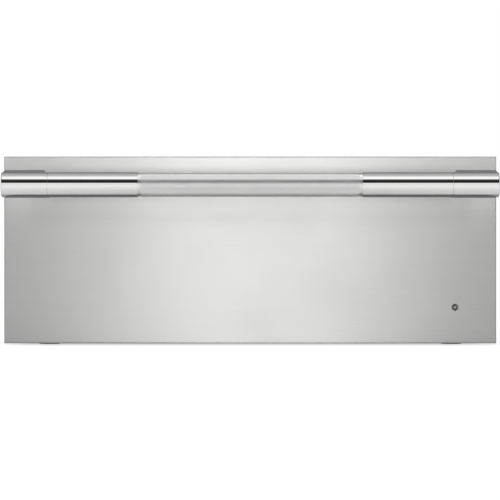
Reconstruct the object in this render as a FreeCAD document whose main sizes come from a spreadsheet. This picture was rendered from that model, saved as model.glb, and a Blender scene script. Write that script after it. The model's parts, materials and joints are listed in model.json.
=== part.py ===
"""Warming drawer, 30 inch class, modelled as a parametric assembly.

Frame: +X to the right, +Y to the back, +Z up. The drawer front faces -Y and the
drawer slides out along -Y. The origin is the middle of the outer box, at its foot.
All lengths are millimetres.
"""

import FreeCAD, Part
import math
import os
import Sketcher

Vector = FreeCAD.Vector

SIZES = [
    # front and handle
    ("front_width", 756.0, "drawer front, side to side"),
    ("front_height", 287.0, "drawer front, bottom to top"),
    ("front_depth", 30.0, "drawer front, face to back"),
    ("front_foot_gap", 3.0, "lower edge of the front above the resting plane"),
    ("skin", 1.2, "stainless sheet of the front"),
    ("skin_bend", 1.7, "outer bend radius round the face"),
    ("handle_projection", 64.0, "face of the front to the nose of the handle"),
    ("handle_drop", 44.4, "handle axis below the top edge of the front"),
    ("tube_diameter", 38.0, "polished handle tube, outside"),
    ("grip_diameter", 36.0, "knurled grip in the middle of the handle"),
    ("core_diameter", 31.0, "steel tube inside the handle"),
    ("core_wall", 2.0, "wall of that tube"),
    ("sleeve_clearance", 0.05, "sleeve and grip over the core tube, per side"),
    ("grip_length", 345.0, "length of the knurled grip"),
    ("cap_length", 70.0, "length of each end bracket along the handle"),
    ("cap_rise", 4.6, "end bracket's root above the tube at the face"),
    ("cap_dome", 2.0, "rounding of the bracket's outer end"),
    ("cap_edge", 6.0, "run-out of the root's rounded inner corner along the handle"),
    ("socket_depth", 34.0, "core tube inside each end bracket"),
    ("seam_gap", 0.2, "hairline seam between bracket and sleeve"),
    ("sleeve_edge", 0.6, "sleeve edge beside the grip"),
    ("handle_screw", 5.0, "handle screw thread diameter"),
    ("handle_screw_pitch", 20.0, "two screws in each bracket, side by side"),
    ("handle_screw_bite", 16.0, "thread length inside the bracket"),
    ("screw_clearance", 0.25, "clearance round a screw shank, per side"),
    # indicator light
    ("light_inset", 63.4, "indicator light from the front's right side edge"),
    ("light_height", 55.5, "indicator light above the front's lower edge"),
    ("bezel_diameter", 10.8, "black ring round the light"),
    ("bezel_body", 8.0, "barrel of the ring through the skin"),
    ("bezel_stand", 0.8, "ring proud of the face"),
    ("lens_diameter", 4.6, "clear lens in the ring"),
    ("bezel_length", 9.0, "barrel length behind the face"),
    ("light_board", 14.0, "small board behind the light, square"),
    # case
    ("foot_height", 15.0, "resting plane to the case"),
    ("foot_diameter", 32.0, "levelling foot pad"),
    ("foot_stem", 10.0, "levelling foot stem"),
    ("foot_inset", 45.0, "foot centre from the case sides and ends"),
    ("case_reveal", 19.0, "case inside the drawer front's side edges, per side"),
    ("case_height", 230.0, "case, bottom to top"),
    ("case_depth", 581.0, "case, flange to back"),
    ("case_sheet", 1.0, "galvanised case sheet"),
    ("case_lip", 14.0, "lip turned in round the case edges"),
    ("lid_lip", 12.0, "lid flange down the case sides"),
    ("flange_width", 15.0, "front frame beyond the case, per side"),
    ("case_screw", 4.0, "case screws"),
    ("case_screw_inset", 9.0, "lid screws from the case sides"),
    ("screw_bite", 6.0, "case screw length under its head"),
    ("nut_height", 5.0, "foot nut inside the case"),
    ("nut_width", 17.0, "foot nut across its flats"),
    ("foot_pad", 9.0, "levelling foot pad height"),
    ("flange_sheet", 1.5, "front frame sheet"),
    ("flange_top", 30.0, "front frame above the case"),
    ("gasket_thick", 3.0, "silicone seal between frame and front"),
    ("gasket_width", 12.0, "face width of the seal"),
    ("gasket_inset", 4.0, "seal outside the cavity's edge"),
    ("seal_gap", 0.2, "seal to the closed front"),
    ("fix_hole", 5.0, "cabinet screw hole in the frame"),
    ("fix_inset", 6.5, "cabinet screw hole from the frame's side edge"),
    ("fix_pitch", 180.0, "cabinet screw holes, up and down"),
    # cavity
    ("jacket", 22.0, "insulation between case and liner"),
    ("jacket_gap", 7.0, "air between the case and the insulation"),
    ("liner_sheet", 0.8, "stainless liner sheet"),
    ("liner_rim", 10.0, "liner flange behind the front frame"),
    ("liner_back_gap", 61.0, "liner back to the case's rear edge"),
    ("liner_corner", 10.0, "liner corner radius"),
    ("element_diameter", 7.0, "tubular heating element"),
    ("element_rise", 16.0, "element axis above the cavity floor"),
    ("element_pitch", 120.0, "spacing of the element's four runs"),
    ("element_rear_turn", 110.0, "element's rear bend in front of the liner back"),
    ("element_tail", 22.0, "cold ends behind the liner back"),
    ("element_bar", 1.5, "support bar under the element"),
    ("element_front", 90.0, "first run of the element behind the frame"),
    ("sensor_diameter", 6.0, "cavity temperature probe"),
    ("sensor_reach", 55.0, "probe inside the cavity"),
    ("sensor_tail", 26.0, "probe behind the liner"),
    ("stat_diameter", 17.0, "limit thermostat can"),
    ("stat_length", 14.0, "limit thermostat can, length"),
    ("shield_sheet", 0.8, "perforated shield over the element"),
    ("shield_rise", 26.0, "shield above the cavity floor"),
    ("shield_slot", 48.0, "heat slot length"),
    ("shield_slot_width", 6.0, "heat slot width"),
    ("terminal_length", 54.0, "supply terminal block"),
    ("terminal_depth", 24.0, "terminal block, front to back"),
    ("terminal_height", 20.0, "terminal block height"),
    ("terminal_screw", 4.0, "terminal screws"),
    # slides
    ("slide_rear_gap", 14.0, "slide's rear end to the liner back"),
    ("slide_height", 46.0, "height of the outer member"),
    ("slide_thick", 12.7, "total thickness of a slide"),
    ("slide_gauge", 1.2, "steel of the slide members"),
    ("slide_setback", 6.0, "slide's front end behind the frame"),
    ("slide_axis_rise", 88.0, "slide's middle line above the cavity floor"),
    ("travel_loss", 20.0, "slide's closed length less the drawer's full opening"),
    ("ball_diameter", 4.0, "slide balls"),
    ("race_clearance", 0.1, "raceway radius over the ball's"),
    ("race_turn", 45.0, "angle from the outer ball down to the inner ball, degrees"),
    ("race_wrap", 55.0, "inner member's wrap round its ball, degrees"),
    ("cage_margin", 5.0, "cage end to the end of the members' overlap, drawer open"),
    ("cage_sheet", 0.5, "ball cage strip"),
    ("cage_gap", 0.25, "cage strip to the members"),
    ("ball_count", 6, "balls in one row"),
    # drawer
    ("rail_sheet", 1.2, "drawer side rail sheet"),
    ("rail_flange", 14.0, "pan ledge on the side rail"),
    ("pan_sheet", 1.0, "stainless pan sheet"),
    ("pan_depth", 112.0, "pan inside depth"),
    ("pan_corner", 22.0, "pan corner radius"),
    ("pan_floor_bend", 8.0, "pan radius between walls and floor"),
    ("pan_setback", 14.0, "pan's front wall behind the drawer front"),
    ("pan_rise", 152.0, "pan rim above the cavity floor"),
    ("pan_rim_ends", 9.0, "pan rim beyond its front and back walls"),
    ("pan_rim_sides", 26.3, "pan rim's side edge to the inside of the pan"),
    ("rail_low", 18.0, "side rail below the slide's middle line"),
    ("rail_side_gap", 1.0, "pan rim to the side rail"),
    ("bracket_leg", 18.0, "angle between side rail and front"),
    ("bracket_sheet", 2.0, "sheet of that angle"),
    ("pan_screw", 4.0, "pan screws"),
    # controls on the top edge
    ("console_width", 190.0, "control strip, side to side"),
    ("console_depth", 18.0, "control strip, front to back"),
    ("console_sheet", 2.0, "control strip thickness"),
    ("console_drop", 24.0, "control housing depth below the edge"),
    ("console_recess", 2.0, "control strip below the top edge"),
    ("console_wall", 1.6, "control housing wall"),
    ("board_thick", 1.6, "circuit board"),
    ("switch_body", 6.0, "tactile switch, square"),
    ("switch_gap", 0.1, "button to its switch at the end of its stroke"),
    ("skirt", 1.2, "retaining skirt round a button"),
    ("button_length", 24.0, "push button, side to side"),
    ("button_width", 10.0, "push button, front to back"),
    ("button_pitch", 36.0, "spacing of the push buttons"),
    ("button_travel", 0.8, "push button stroke"),
    ("button_clearance", 0.3, "gap round a push button, per side"),
    ("button_stand", 1.2, "push button proud of the strip"),
    # moisture vent
    ("vent_count", 5, "slots in the vent"),
    ("panel_sheet", 1.0, "inner panel of the front"),
    ("panel_lip", 12.0, "inner panel's flange inside the front"),
    ("panel_clearance", 0.1, "inner panel inside the skin, per side"),
    ("vent_slot_length", 24.0, "vent slot length"),
    ("vent_slot_height", 7.0, "vent slot height"),
    ("vent_pitch", 52.0, "spacing of the vent slots"),
    ("vent_travel", 26.0, "sideways stroke of the vent slider"),
    ("vent_sheet", 1.0, "vent slider sheet"),
    ("vent_tab", 9.0, "finger tab on the vent slider"),
    ("vent_clearance", 0.3, "vent slider in its guides"),
    ("vent_rise", 15.0, "vent slots above the pan rim"),
    ("vent_margin", 4.0, "slider plate round its slots"),
    ("top_slot", 20.0, "outlet slot in the top edge"),
    ("top_slot_width", 4.0, "outlet slot width"),
    ("top_slot_pitch", 28.0, "spacing of the outlet slots"),
    ("guide_width", 6.0, "vent guide strip"),
    ("guide_grip", 2.0, "vent guide over the slider's edge"),
    # rear
    ("back_recess", 6.0, "back panel inside the case's rear edge"),
    ("back_lip", 10.0, "back panel's flange"),
    ("bush_rim", 2.0, "rim thickness of the bush"),
    ("bush_bore", 16.0, "bore of the supply cable bush"),
    ("bush_wall", 3.0, "wall of the bush"),
    ("bush_flange", 4.0, "rim of the bush over the back panel"),
    ("bush_length", 12.0, "length of the bush"),
    ("bush_inset", 70.0, "bush from the case's right side, seen from the front"),
    ("bush_rise", 45.0, "bush above the case's bottom"),
    ("louvre_count", 14, "cooling slots in the back"),
    ("louvre_pitch", 14.0, "spacing of the cooling slots"),
    ("louvre_length", 50.0, "cooling slot height"),
    ("louvre_width", 5.0, "cooling slot width"),
]

ALONG = {"XY_Plane": 1, "XZ_Plane": -1, "YZ_Plane": 1}


class Size:
    """A length that knows its number and the sheet formula it comes from."""

    def __init__(self, value, formula):
        self.value = float(value)
        self.formula = formula

    @staticmethod
    def of(other):
        return other if isinstance(other, Size) else Size(other, repr(float(other)))

    def join(self, sign, other, value):
        return Size(value, f"({self.formula} {sign} {Size.of(other).formula})")

    def __add__(self, other):
        return self.join("+", other, self.value + Size.of(other).value)

    def __radd__(self, other):
        return Size.of(other) + self

    def __sub__(self, other):
        return self.join("-", other, self.value - Size.of(other).value)

    def __rsub__(self, other):
        return Size.of(other) - self

    def __mul__(self, other):
        return self.join("*", other, self.value * Size.of(other).value)

    def __rmul__(self, other):
        return Size.of(other) * self

    def __truediv__(self, other):
        return self.join("/", other, self.value / Size.of(other).value)

    def __neg__(self):
        return Size.of(0.0) - self

    def root(self):
        return Size(math.sqrt(self.value), f"sqrt({self.formula})")

    def sine(self):
        return Size(math.sin(math.radians(self.value)), f"sin({self.formula} * 1 deg)")

    def cosine(self):
        return Size(math.cos(math.radians(self.value)), f"cos({self.formula} * 1 deg)")


class Sheet:
    """The spreadsheet of driving sizes, each read back as a Size."""

    def __init__(self, document, rows):
        self.sheet = document.addObject("Spreadsheet::Sheet", "Sizes")
        self.values = {}
        for row, (alias, value, note) in enumerate(rows, start=1):
            self.sheet.set(f"A{row}", alias)
            self.sheet.set(f"B{row}", str(value))
            self.sheet.set(f"C{row}", note)
            self.sheet.setAlias(f"B{row}", alias)
            self.values[alias] = value

    def __getattr__(self, alias):
        return Size(self.values[alias], "Sizes." + alias)


DOC = FreeCAD.newDocument("WarmingDrawer")
D = Sheet(DOC, SIZES)
DOC.recompute()

PARTS = []


def bind(item, prop, amount):
    """Tie one property of an object to a sheet formula."""
    item.setExpression(prop, Size.of(amount).formula)


class Profile:
    """A sketch on one of a body's origin planes, every point tied to the sheet."""

    def __init__(self, body, name, plane, offset):
        self.sketch = body.newObject("Sketcher::SketchObject", name)
        base = [item for item in body.Origin.OriginFeatures if item.Role == plane][0]
        self.sketch.AttachmentSupport = [(base, "")]
        self.sketch.MapMode = "FlatFace"
        shift = Size.of(offset) * ALONG[plane]
        self.sketch.AttachmentOffset = FreeCAD.Placement(Vector(0, 0, shift.value), FreeCAD.Rotation())
        bind(self.sketch, "AttachmentOffset.Base.z", shift)

    def limit(self, kind, references, amount):
        amount = Size.of(amount)
        number = self.sketch.addConstraint(Sketcher.Constraint(kind, *references, amount.value))
        if "Sizes." in amount.formula:
            bind(self.sketch, f"Constraints[{number}]", amount)

    def pin(self, curve, point, across, up):
        """Fix a point of a curve at a place from the sketch's origin."""
        self.limit("DistanceX", (-1, 1, curve, point), across)
        self.limit("DistanceY", (-1, 1, curve, point), up)

    def run(self, corners, arcs=None, closed=False):
        """Draw sides through the corners; arcs maps a side to (centre, radius, turns left)."""
        arcs = arcs or {}
        corners = [(Size.of(across), Size.of(up)) for across, up in corners]
        ends = [Vector(across.value, up.value, 0) for across, up in corners]
        curves = []
        for side in range(len(ends) if closed else len(ends) - 1):
            start, finish = ends[side], ends[(side + 1) % len(ends)]
            if side in arcs:
                curves.append(self.arc(start, finish, *arcs[side]))
            else:
                line = self.sketch.addGeometry(Part.LineSegment(start, finish), False)
                curves.append((line, 1, 2))
        following = curves[1:] + curves[:1] if closed else curves[1:]
        for (curve, _, last), (after, first, _) in zip(curves, following):
            self.sketch.addConstraint(Sketcher.Constraint("Coincident", curve, last, after, first))
        for (curve, first, _), (across, up) in zip(curves, corners):
            self.pin(curve, first, across, up)
        if not closed:
            self.pin(curves[-1][0], curves[-1][2], *corners[-1])

    def path(self, corners, arcs=None):
        """Close a loop through the corners."""
        self.run(corners, arcs, closed=True)

    def arc(self, start, finish, centre, radius, left):
        """Add an arc between two ends; left says that it turns to the left on its way."""
        middle = Vector(Size.of(centre[0]).value, Size.of(centre[1]).value, 0)
        first, last = (start, finish) if left else (finish, start)
        angles = [math.atan2(end.y - middle.y, end.x - middle.x) for end in (first, last)]
        circle = Part.Circle(middle, Vector(0, 0, 1), Size.of(radius).value)
        curve = self.sketch.addGeometry(Part.ArcOfCircle(circle, angles[0], angles[1]), False)
        self.limit("Radius", (curve,), radius)
        return (curve, 1, 2) if left else (curve, 2, 1)

    def box(self, left, low, right, high):
        self.path([(left, low), (right, low), (right, high), (left, high)])

    def round_box(self, left, low, right, high, radius):
        """A rectangle with rounded corners."""
        left, low, right, high = (Size.of(edge) for edge in (left, low, right, high))
        corners = [(left + radius, low), (right - radius, low), (right, low + radius),
                   (right, high - radius), (right - radius, high), (left + radius, high),
                   (left, high - radius), (left, low + radius)]
        arcs = {1: ((right - radius, low + radius), radius, True),
                3: ((right - radius, high - radius), radius, True),
                5: ((left + radius, high - radius), radius, True),
                7: ((left + radius, low + radius), radius, True)}
        self.path(corners, arcs)

    def circle(self, across, up, radius):
        centre = Vector(Size.of(across).value, Size.of(up).value, 0)
        curve = self.sketch.addGeometry(Part.Circle(centre, Vector(0, 0, 1), Size.of(radius).value), False)
        self.pin(curve, 3, across, up)
        self.limit("Radius", (curve,), radius)


def new_body(label):
    body = DOC.addObject("PartDesign::Body", label)
    body.Label = label
    return body


def publish(item, label=None):
    """Name a finished sub-part; its shape is written under that name."""
    if label:
        item.Label = label
    PARTS.append(item)
    return item


def settle(feature):
    """Recompute, and stop at the first feature that fails."""
    DOC.recompute()
    if "Invalid" in feature.State or "Error" in feature.State or feature.Shape.isNull():
        raise RuntimeError(f"{feature.Label} failed: {feature.getStatusString()}")
    return feature


def add(body, plane, start, length, draw):
    """Pad a profile from start, for length, along the plane's own row axis."""
    profile = Profile(body, f"{body.Name}Sketch", plane, start)
    draw(profile)
    pad = body.newObject("PartDesign::Pad", f"{body.Name}Pad")
    pad.Profile = profile.sketch
    pad.Reversed = ALONG[plane] < 0
    bind(pad, "Length", length)
    return settle(pad)


def cut(body, plane, start, length, draw):
    """Pocket a profile from start, for length, along the plane's own row axis."""
    before = body.Shape.Volume
    profile = Profile(body, f"{body.Name}CutSketch", plane, start)
    draw(profile)
    pocket = body.newObject("PartDesign::Pocket", f"{body.Name}Pocket")
    pocket.Profile = profile.sketch
    pocket.Reversed = ALONG[plane] > 0
    bind(pocket, "Length", length)
    if settle(pocket).Shape.Volume >= before:
        raise RuntimeError(f"a cut in {body.Label} removes nothing")
    return pocket


def soften(body, kind, radius, wanted):
    """Fillet or chamfer the edges of a body's tip that the test picks."""
    tip = body.Tip
    names = [f"Edge{number}" for number, edge in enumerate(tip.Shape.Edges, start=1) if wanted(edge)]
    if not names:
        raise RuntimeError(f"no edge to soften on {body.Label}")
    feature = body.newObject(f"PartDesign::{kind}", f"{body.Name}{kind}")
    feature.Base = (tip, names)
    bind(feature, "Radius" if kind == "Fillet" else "Size", radius)
    return settle(feature)


def hollow(body, wall, wanted):
    """Shell a body inwards, open at the faces of its tip that the test picks."""
    tip = body.Tip
    names = [f"Face{number}" for number, face in enumerate(tip.Shape.Faces, start=1) if wanted(face)]
    shell = body.newObject("PartDesign::Thickness", f"{body.Name}Shell")
    shell.Base = (tip, names)
    shell.Reversed = True
    bind(shell, "Value", wall)
    return settle(shell)


def runs(edge, axis):
    """Whether an edge is straight along an axis."""
    if edge.Curve.TypeId != "Part::GeomLine":
        return False
    return abs(abs(edge.Curve.Direction.dot(axis)) - 1.0) < 1e-6


def lies(edge, axis, amount):
    """Whether all of an edge lies on one plane across an axis."""
    place = Size.of(amount).value
    return all(abs(vertex.Point.dot(axis) - place) < 1e-4 for vertex in edge.Vertexes)


AXIS_X = Vector(1, 0, 0)
AXIS_Y = Vector(0, 1, 0)
AXIS_Z = Vector(0, 0, 1)


def repeat(body, first, steps):
    """Repeat a feature in a grid: steps holds (origin axis, pitch, count) for one or two directions."""
    pattern = body.newObject("PartDesign::LinearPattern", f"{body.Name}Pattern")
    pattern.Originals = [first]
    for suffix, (role, pitch, count) in zip(("", "2"), steps):
        line = [item for item in body.Origin.OriginFeatures if item.Role == role][0]
        setattr(pattern, "Direction" + suffix, (line, [""]))
        setattr(pattern, "Mode" + suffix, "Spacing")
        bind(pattern, "Offset" + suffix, pitch)
        setattr(pattern, "Occurrences" + suffix, count)
    body.Tip = pattern
    return settle(pattern)


def mirrored(source, label):
    """The same piece for the other side."""
    twin = DOC.addObject("Part::Mirroring", label)
    twin.Source = source
    twin.Normal = AXIS_X
    twin.Base = Vector(0, 0, 0)
    return publish(twin, label)


def pair(source, stem):
    """Publish a right-hand piece and its left-hand twin."""
    publish(source, stem + "_right")
    mirrored(source, stem + "_left")


def group(label, items):
    """One sub-part made of several separate solids."""
    compound = DOC.addObject("Part::Compound", label)
    compound.Links = items
    return publish(compound, label)


def screws(label, plane, head_start, places, shank, bite, head, side=1):
    """Identical pan-head screws: heads start on one plane, shanks run from it.

    side is 1 when the shank runs along the row axis, -1 when it runs against it.
    """
    body = new_body(label)
    head_height = shank * 0.55
    head_low = head_start - head_height if side > 0 else head_start
    shank_low = head_start - head_height / 2 if side > 0 else head_start - bite
    add(body, plane, head_low, head_height,
        lambda profile: [profile.circle(across, up, head / 2) for across, up in places])
    add(body, plane, shank_low, bite + head_height / 2,
        lambda profile: [profile.circle(across, up, shank / 2) for across, up in places])
    return publish(body)


# Planes and lines that the pieces share
overall_depth = D.handle_projection + D.front_depth + D.gasket_thick + D.case_depth
nose_y = -overall_depth / 2
face_y = nose_y + D.handle_projection
front_back_y = face_y + D.front_depth
frame_y = front_back_y + D.gasket_thick
case_front_y = frame_y + D.flange_sheet
back_y = frame_y + D.case_depth
panel_y = back_y - D.back_recess

front_low = D.front_foot_gap
front_top = front_low + D.front_height
front_half = D.front_width / 2
handle_z = front_top - D.handle_drop
handle_y = nose_y + D.tube_diameter / 2

case_low = D.foot_height
case_top = case_low + D.case_height
case_half = front_half - D.case_reveal
wrap_half = case_half - D.case_sheet
case_middle_z = (case_low + case_top) / 2

liner_half = case_half - D.jacket
liner_low = case_low + D.jacket
liner_top = case_top - D.jacket
liner_back_y = back_y - D.liner_back_gap
cavity_half = liner_half - D.liner_sheet
cavity_floor = liner_low + D.liner_sheet
cavity_top = liner_top - D.liner_sheet
cavity_back_y = liner_back_y - D.liner_sheet


def grow_box(profile, half, low, high, extra, radius):
    """A centred rounded rectangle, grown by extra on every side."""
    profile.round_box(-half - extra, low - extra, half + extra, high + extra, radius + extra)


def make_case():
    """Wrap, lid, back panel and their screws."""
    sheet = D.case_sheet
    lid_under = case_top - sheet

    wrap = new_body("case_wrap")
    edge = wrap_half - D.case_lip
    outline = [(wrap_half, case_low), (wrap_half, lid_under), (edge, lid_under), (edge, lid_under - sheet),
               (wrap_half - sheet, lid_under - sheet), (wrap_half - sheet, case_low + sheet)]
    left = [(-across, up) for across, up in reversed(outline)]
    add(wrap, "XZ_Plane", case_front_y, back_y - case_front_y, lambda profile: profile.path(outline + left))
    soften(wrap, "Fillet", sheet * 2,
           lambda edge: runs(edge, AXIS_Y) and (lies(edge, AXIS_X, wrap_half)
                                                or lies(edge, AXIS_X, -wrap_half)))
    inner = wrap_half - sheet
    soften(wrap, "Fillet", sheet,
           lambda edge: runs(edge, AXIS_Y) and (lies(edge, AXIS_X, inner) or lies(edge, AXIS_X, -inner)))
    stem_hole = D.foot_stem / 2 + D.screw_clearance
    cut(wrap, "XY_Plane", case_low, sheet,
        lambda profile: [profile.circle(across, along, stem_hole) for across, along in foot_places()])
    screw_hole = D.case_screw / 2 + D.screw_clearance
    cut(wrap, "XY_Plane", lid_under - sheet, sheet,
        lambda profile: [profile.circle(across, along, screw_hole) for across, along in lid_screw_places()])
    publish(wrap)

    lid = new_body("case_lid")
    skirt_low = case_top - D.lid_lip
    outline = [(case_half, skirt_low), (case_half, case_top), (-case_half, case_top),
               (-case_half, skirt_low), (-wrap_half, skirt_low), (-wrap_half, lid_under),
               (wrap_half, lid_under), (wrap_half, skirt_low)]
    add(lid, "XZ_Plane", case_front_y, back_y - case_front_y, lambda profile: profile.path(outline))
    soften(lid, "Fillet", sheet * 2, lambda edge: runs(edge, AXIS_Y) and lies(edge, AXIS_Z, case_top))
    cut(lid, "XY_Plane", lid_under, sheet,
        lambda profile: [profile.circle(across, along, screw_hole) for across, along in lid_screw_places()])
    publish(lid)
    screws("case_screws", "XY_Plane", case_top, lid_screw_places(), D.case_screw, D.screw_bite,
           D.case_screw * 2, side=-1)

    back = new_body("case_back")
    half = wrap_half - sheet - D.panel_clearance
    low = case_low + sheet + D.panel_clearance
    high = lid_under - sheet - D.panel_clearance
    front = panel_y - D.back_lip
    add(back, "XZ_Plane", front, D.back_lip, lambda profile: profile.box(-half, low, half, high))
    soften(back, "Fillet", sheet * 2, lambda edge: runs(edge, AXIS_Y))
    cut(back, "XZ_Plane", front, D.back_lip - sheet,
        lambda profile: profile.box(-half + sheet, low + sheet, half - sheet, high - sheet))
    bush_hole = D.bush_bore / 2 + D.bush_wall
    cut(back, "XZ_Plane", panel_y - sheet, sheet,
        lambda profile: profile.circle(bush_x, bush_z, bush_hole + D.sleeve_clearance))
    louvre_z = case_middle_z + D.louvre_length / 2
    count = int(D.louvre_count.value)
    first_x = -case_half / 2 - (count - 1) / 2 * D.louvre_pitch
    louvre = cut(back, "XZ_Plane", panel_y - sheet, sheet,
                 lambda profile: profile.box(first_x - D.louvre_width / 2, louvre_z - D.louvre_length / 2,
                                             first_x + D.louvre_width / 2, louvre_z + D.louvre_length / 2))
    repeat(back, louvre, [("X_Axis", D.louvre_pitch, count)])
    publish(back)


def foot_places():
    across = case_half - D.foot_inset
    front = case_front_y + D.foot_inset
    rear = back_y - D.foot_inset
    return [(side * across, along) for side in (-1, 1) for along in (front, rear)]


def lid_screw_places():
    across = case_half - D.case_screw_inset
    reach = (back_y - case_front_y) / 2 - D.foot_inset
    middle = (back_y + case_front_y) / 2
    return [(side * across, middle + step * reach) for side in (-1, 1) for step in (-1, 0, 1)]


bush_x = case_half - D.bush_inset
bush_z = case_low + D.bush_rise


def make_bush():
    """The supply cable's bush, snapped into the back panel."""
    bush = new_body("cable_bush")
    outer = D.bush_bore / 2 + D.bush_wall
    add(bush, "XZ_Plane", panel_y, D.bush_rim,
        lambda profile: profile.circle(bush_x, bush_z, outer + D.bush_flange))
    add(bush, "XZ_Plane", panel_y + D.bush_rim - D.bush_length, D.bush_length - D.bush_rim / 2,
        lambda profile: profile.circle(bush_x, bush_z, outer))
    cut(bush, "XZ_Plane", panel_y + D.bush_rim - D.bush_length, D.bush_length,
        lambda profile: profile.circle(bush_x, bush_z, D.bush_bore / 2))
    publish(bush)


def hexagon(profile, across, up, flats):
    """A hexagon with two flats along the sketch's second axis."""
    half = flats / 2
    reach = flats / math.sqrt(3.0)
    profile.path([(across + half, up - reach / 2), (across + half, up + reach / 2), (across, up + reach),
                  (across - half, up + reach / 2), (across - half, up - reach / 2), (across, up - reach)])


def make_feet():
    """Levelling feet: pad, stem through the case floor, and a nut on it."""
    feet = new_body("feet")
    add(feet, "XY_Plane", 0, D.foot_pad,
        lambda profile: [profile.circle(across, along, D.foot_diameter / 2)
                         for across, along in foot_places()])
    soften(feet, "Fillet", D.foot_pad / 4, lambda edge: lies(edge, AXIS_Z, D.foot_pad))
    stem_top = case_low + D.case_sheet + D.nut_height + D.case_sheet
    add(feet, "XY_Plane", D.foot_pad / 2, stem_top - D.foot_pad / 2,
        lambda profile: [profile.circle(across, along, D.foot_stem / 2) for across, along in foot_places()])
    publish(feet)
    nuts = new_body("foot_nuts")
    add(nuts, "XY_Plane", case_low + D.case_sheet, D.nut_height,
        lambda profile: [hexagon(profile, across, along, D.nut_width) for across, along in foot_places()])
    cut(nuts, "XY_Plane", case_low + D.case_sheet, D.nut_height,
        lambda profile: [profile.circle(across, along, D.foot_stem / 2 + D.sleeve_clearance)
                         for across, along in foot_places()])
    publish(nuts)


def fix_places():
    """Cabinet screw holes in the front frame."""
    across = case_half + D.flange_width - D.fix_inset
    return [(side * across, case_middle_z + step * D.fix_pitch / 2) for side in (-1, 1) for step in (-1, 1)]


def make_front_frame():
    """The flange round the case mouth and the silicone seal on it."""
    frame = new_body("front_frame")
    half = case_half + D.flange_width
    add(frame, "XZ_Plane", frame_y, D.flange_sheet,
        lambda profile: profile.box(-half, case_low, half, case_top + D.flange_top))
    soften(frame, "Fillet", D.liner_corner / 2, lambda edge: runs(edge, AXIS_Y))
    cut(frame, "XZ_Plane", frame_y, D.flange_sheet,
        lambda profile: grow_box(profile, cavity_half, cavity_floor, cavity_top, 0, D.liner_corner))
    cut(frame, "XZ_Plane", frame_y, D.flange_sheet,
        lambda profile: [profile.circle(across, up, D.fix_hole / 2) for across, up in fix_places()])
    publish(frame)

    seal = new_body("frame_gasket")
    start = front_back_y + D.seal_gap
    thick = D.gasket_thick - D.seal_gap
    add(seal, "XZ_Plane", start, thick,
        lambda profile: grow_box(profile, cavity_half, cavity_floor, cavity_top,
                                 D.gasket_inset + D.gasket_width, D.liner_corner))
    cut(seal, "XZ_Plane", start, thick,
        lambda profile: grow_box(profile, cavity_half, cavity_floor, cavity_top, D.gasket_inset,
                                 D.liner_corner))
    publish(seal)


def make_liner():
    """Cavity liner with its front flange, and the insulation jacket round it."""
    sheet = D.liner_sheet
    liner = new_body("cavity_liner")
    add(liner, "XZ_Plane", case_front_y, liner_back_y - case_front_y,
        lambda profile: grow_box(profile, cavity_half, cavity_floor, cavity_top, sheet, D.liner_corner))
    add(liner, "XZ_Plane", case_front_y, sheet,
        lambda profile: grow_box(profile, cavity_half, cavity_floor, cavity_top, D.liner_rim, D.liner_corner))
    cut(liner, "XZ_Plane", case_front_y, cavity_back_y - case_front_y,
        lambda profile: grow_box(profile, cavity_half, cavity_floor, cavity_top, 0, D.liner_corner))
    cut(liner, "XZ_Plane", cavity_back_y, sheet, draw_liner_back_holes)
    publish(liner)

    jacket = new_body("insulation_jacket")
    front = case_front_y + sheet
    rear = liner_back_y + jacket_thick
    half = cavity_half + sheet + jacket_thick
    add(jacket, "XZ_Plane", front, rear - front,
        lambda profile: profile.round_box(-half, liner_low - jacket_thick, half, liner_top + jacket_thick,
                                          D.liner_corner + sheet + jacket_thick))
    cut(jacket, "XZ_Plane", front, liner_back_y - front,
        lambda profile: grow_box(profile, cavity_half, cavity_floor, cavity_top, sheet, D.liner_corner))
    cut(jacket, "XZ_Plane", liner_back_y, jacket_thick, draw_jacket_back_holes)
    publish(jacket)


jacket_thick = D.jacket - D.case_sheet * 2 - D.jacket_gap
element_z = cavity_floor + D.element_rise
element_x = D.element_pitch * 1.5
sensor_x = case_half / 2
sensor_z = cavity_top - 12
stat_z = case_middle_z


def draw_liner_back_holes(profile):
    for side in (-1, 1):
        profile.circle(side * element_x, element_z, D.element_diameter / 2 + D.screw_clearance)
    profile.circle(sensor_x, sensor_z, D.sensor_diameter / 2 + D.screw_clearance)


def draw_jacket_back_holes(profile):
    for side in (-1, 1):
        profile.circle(side * element_x, element_z, D.element_diameter)
    profile.circle(sensor_x, sensor_z, D.sensor_diameter)
    profile.circle(0, stat_z, D.stat_diameter)


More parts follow.
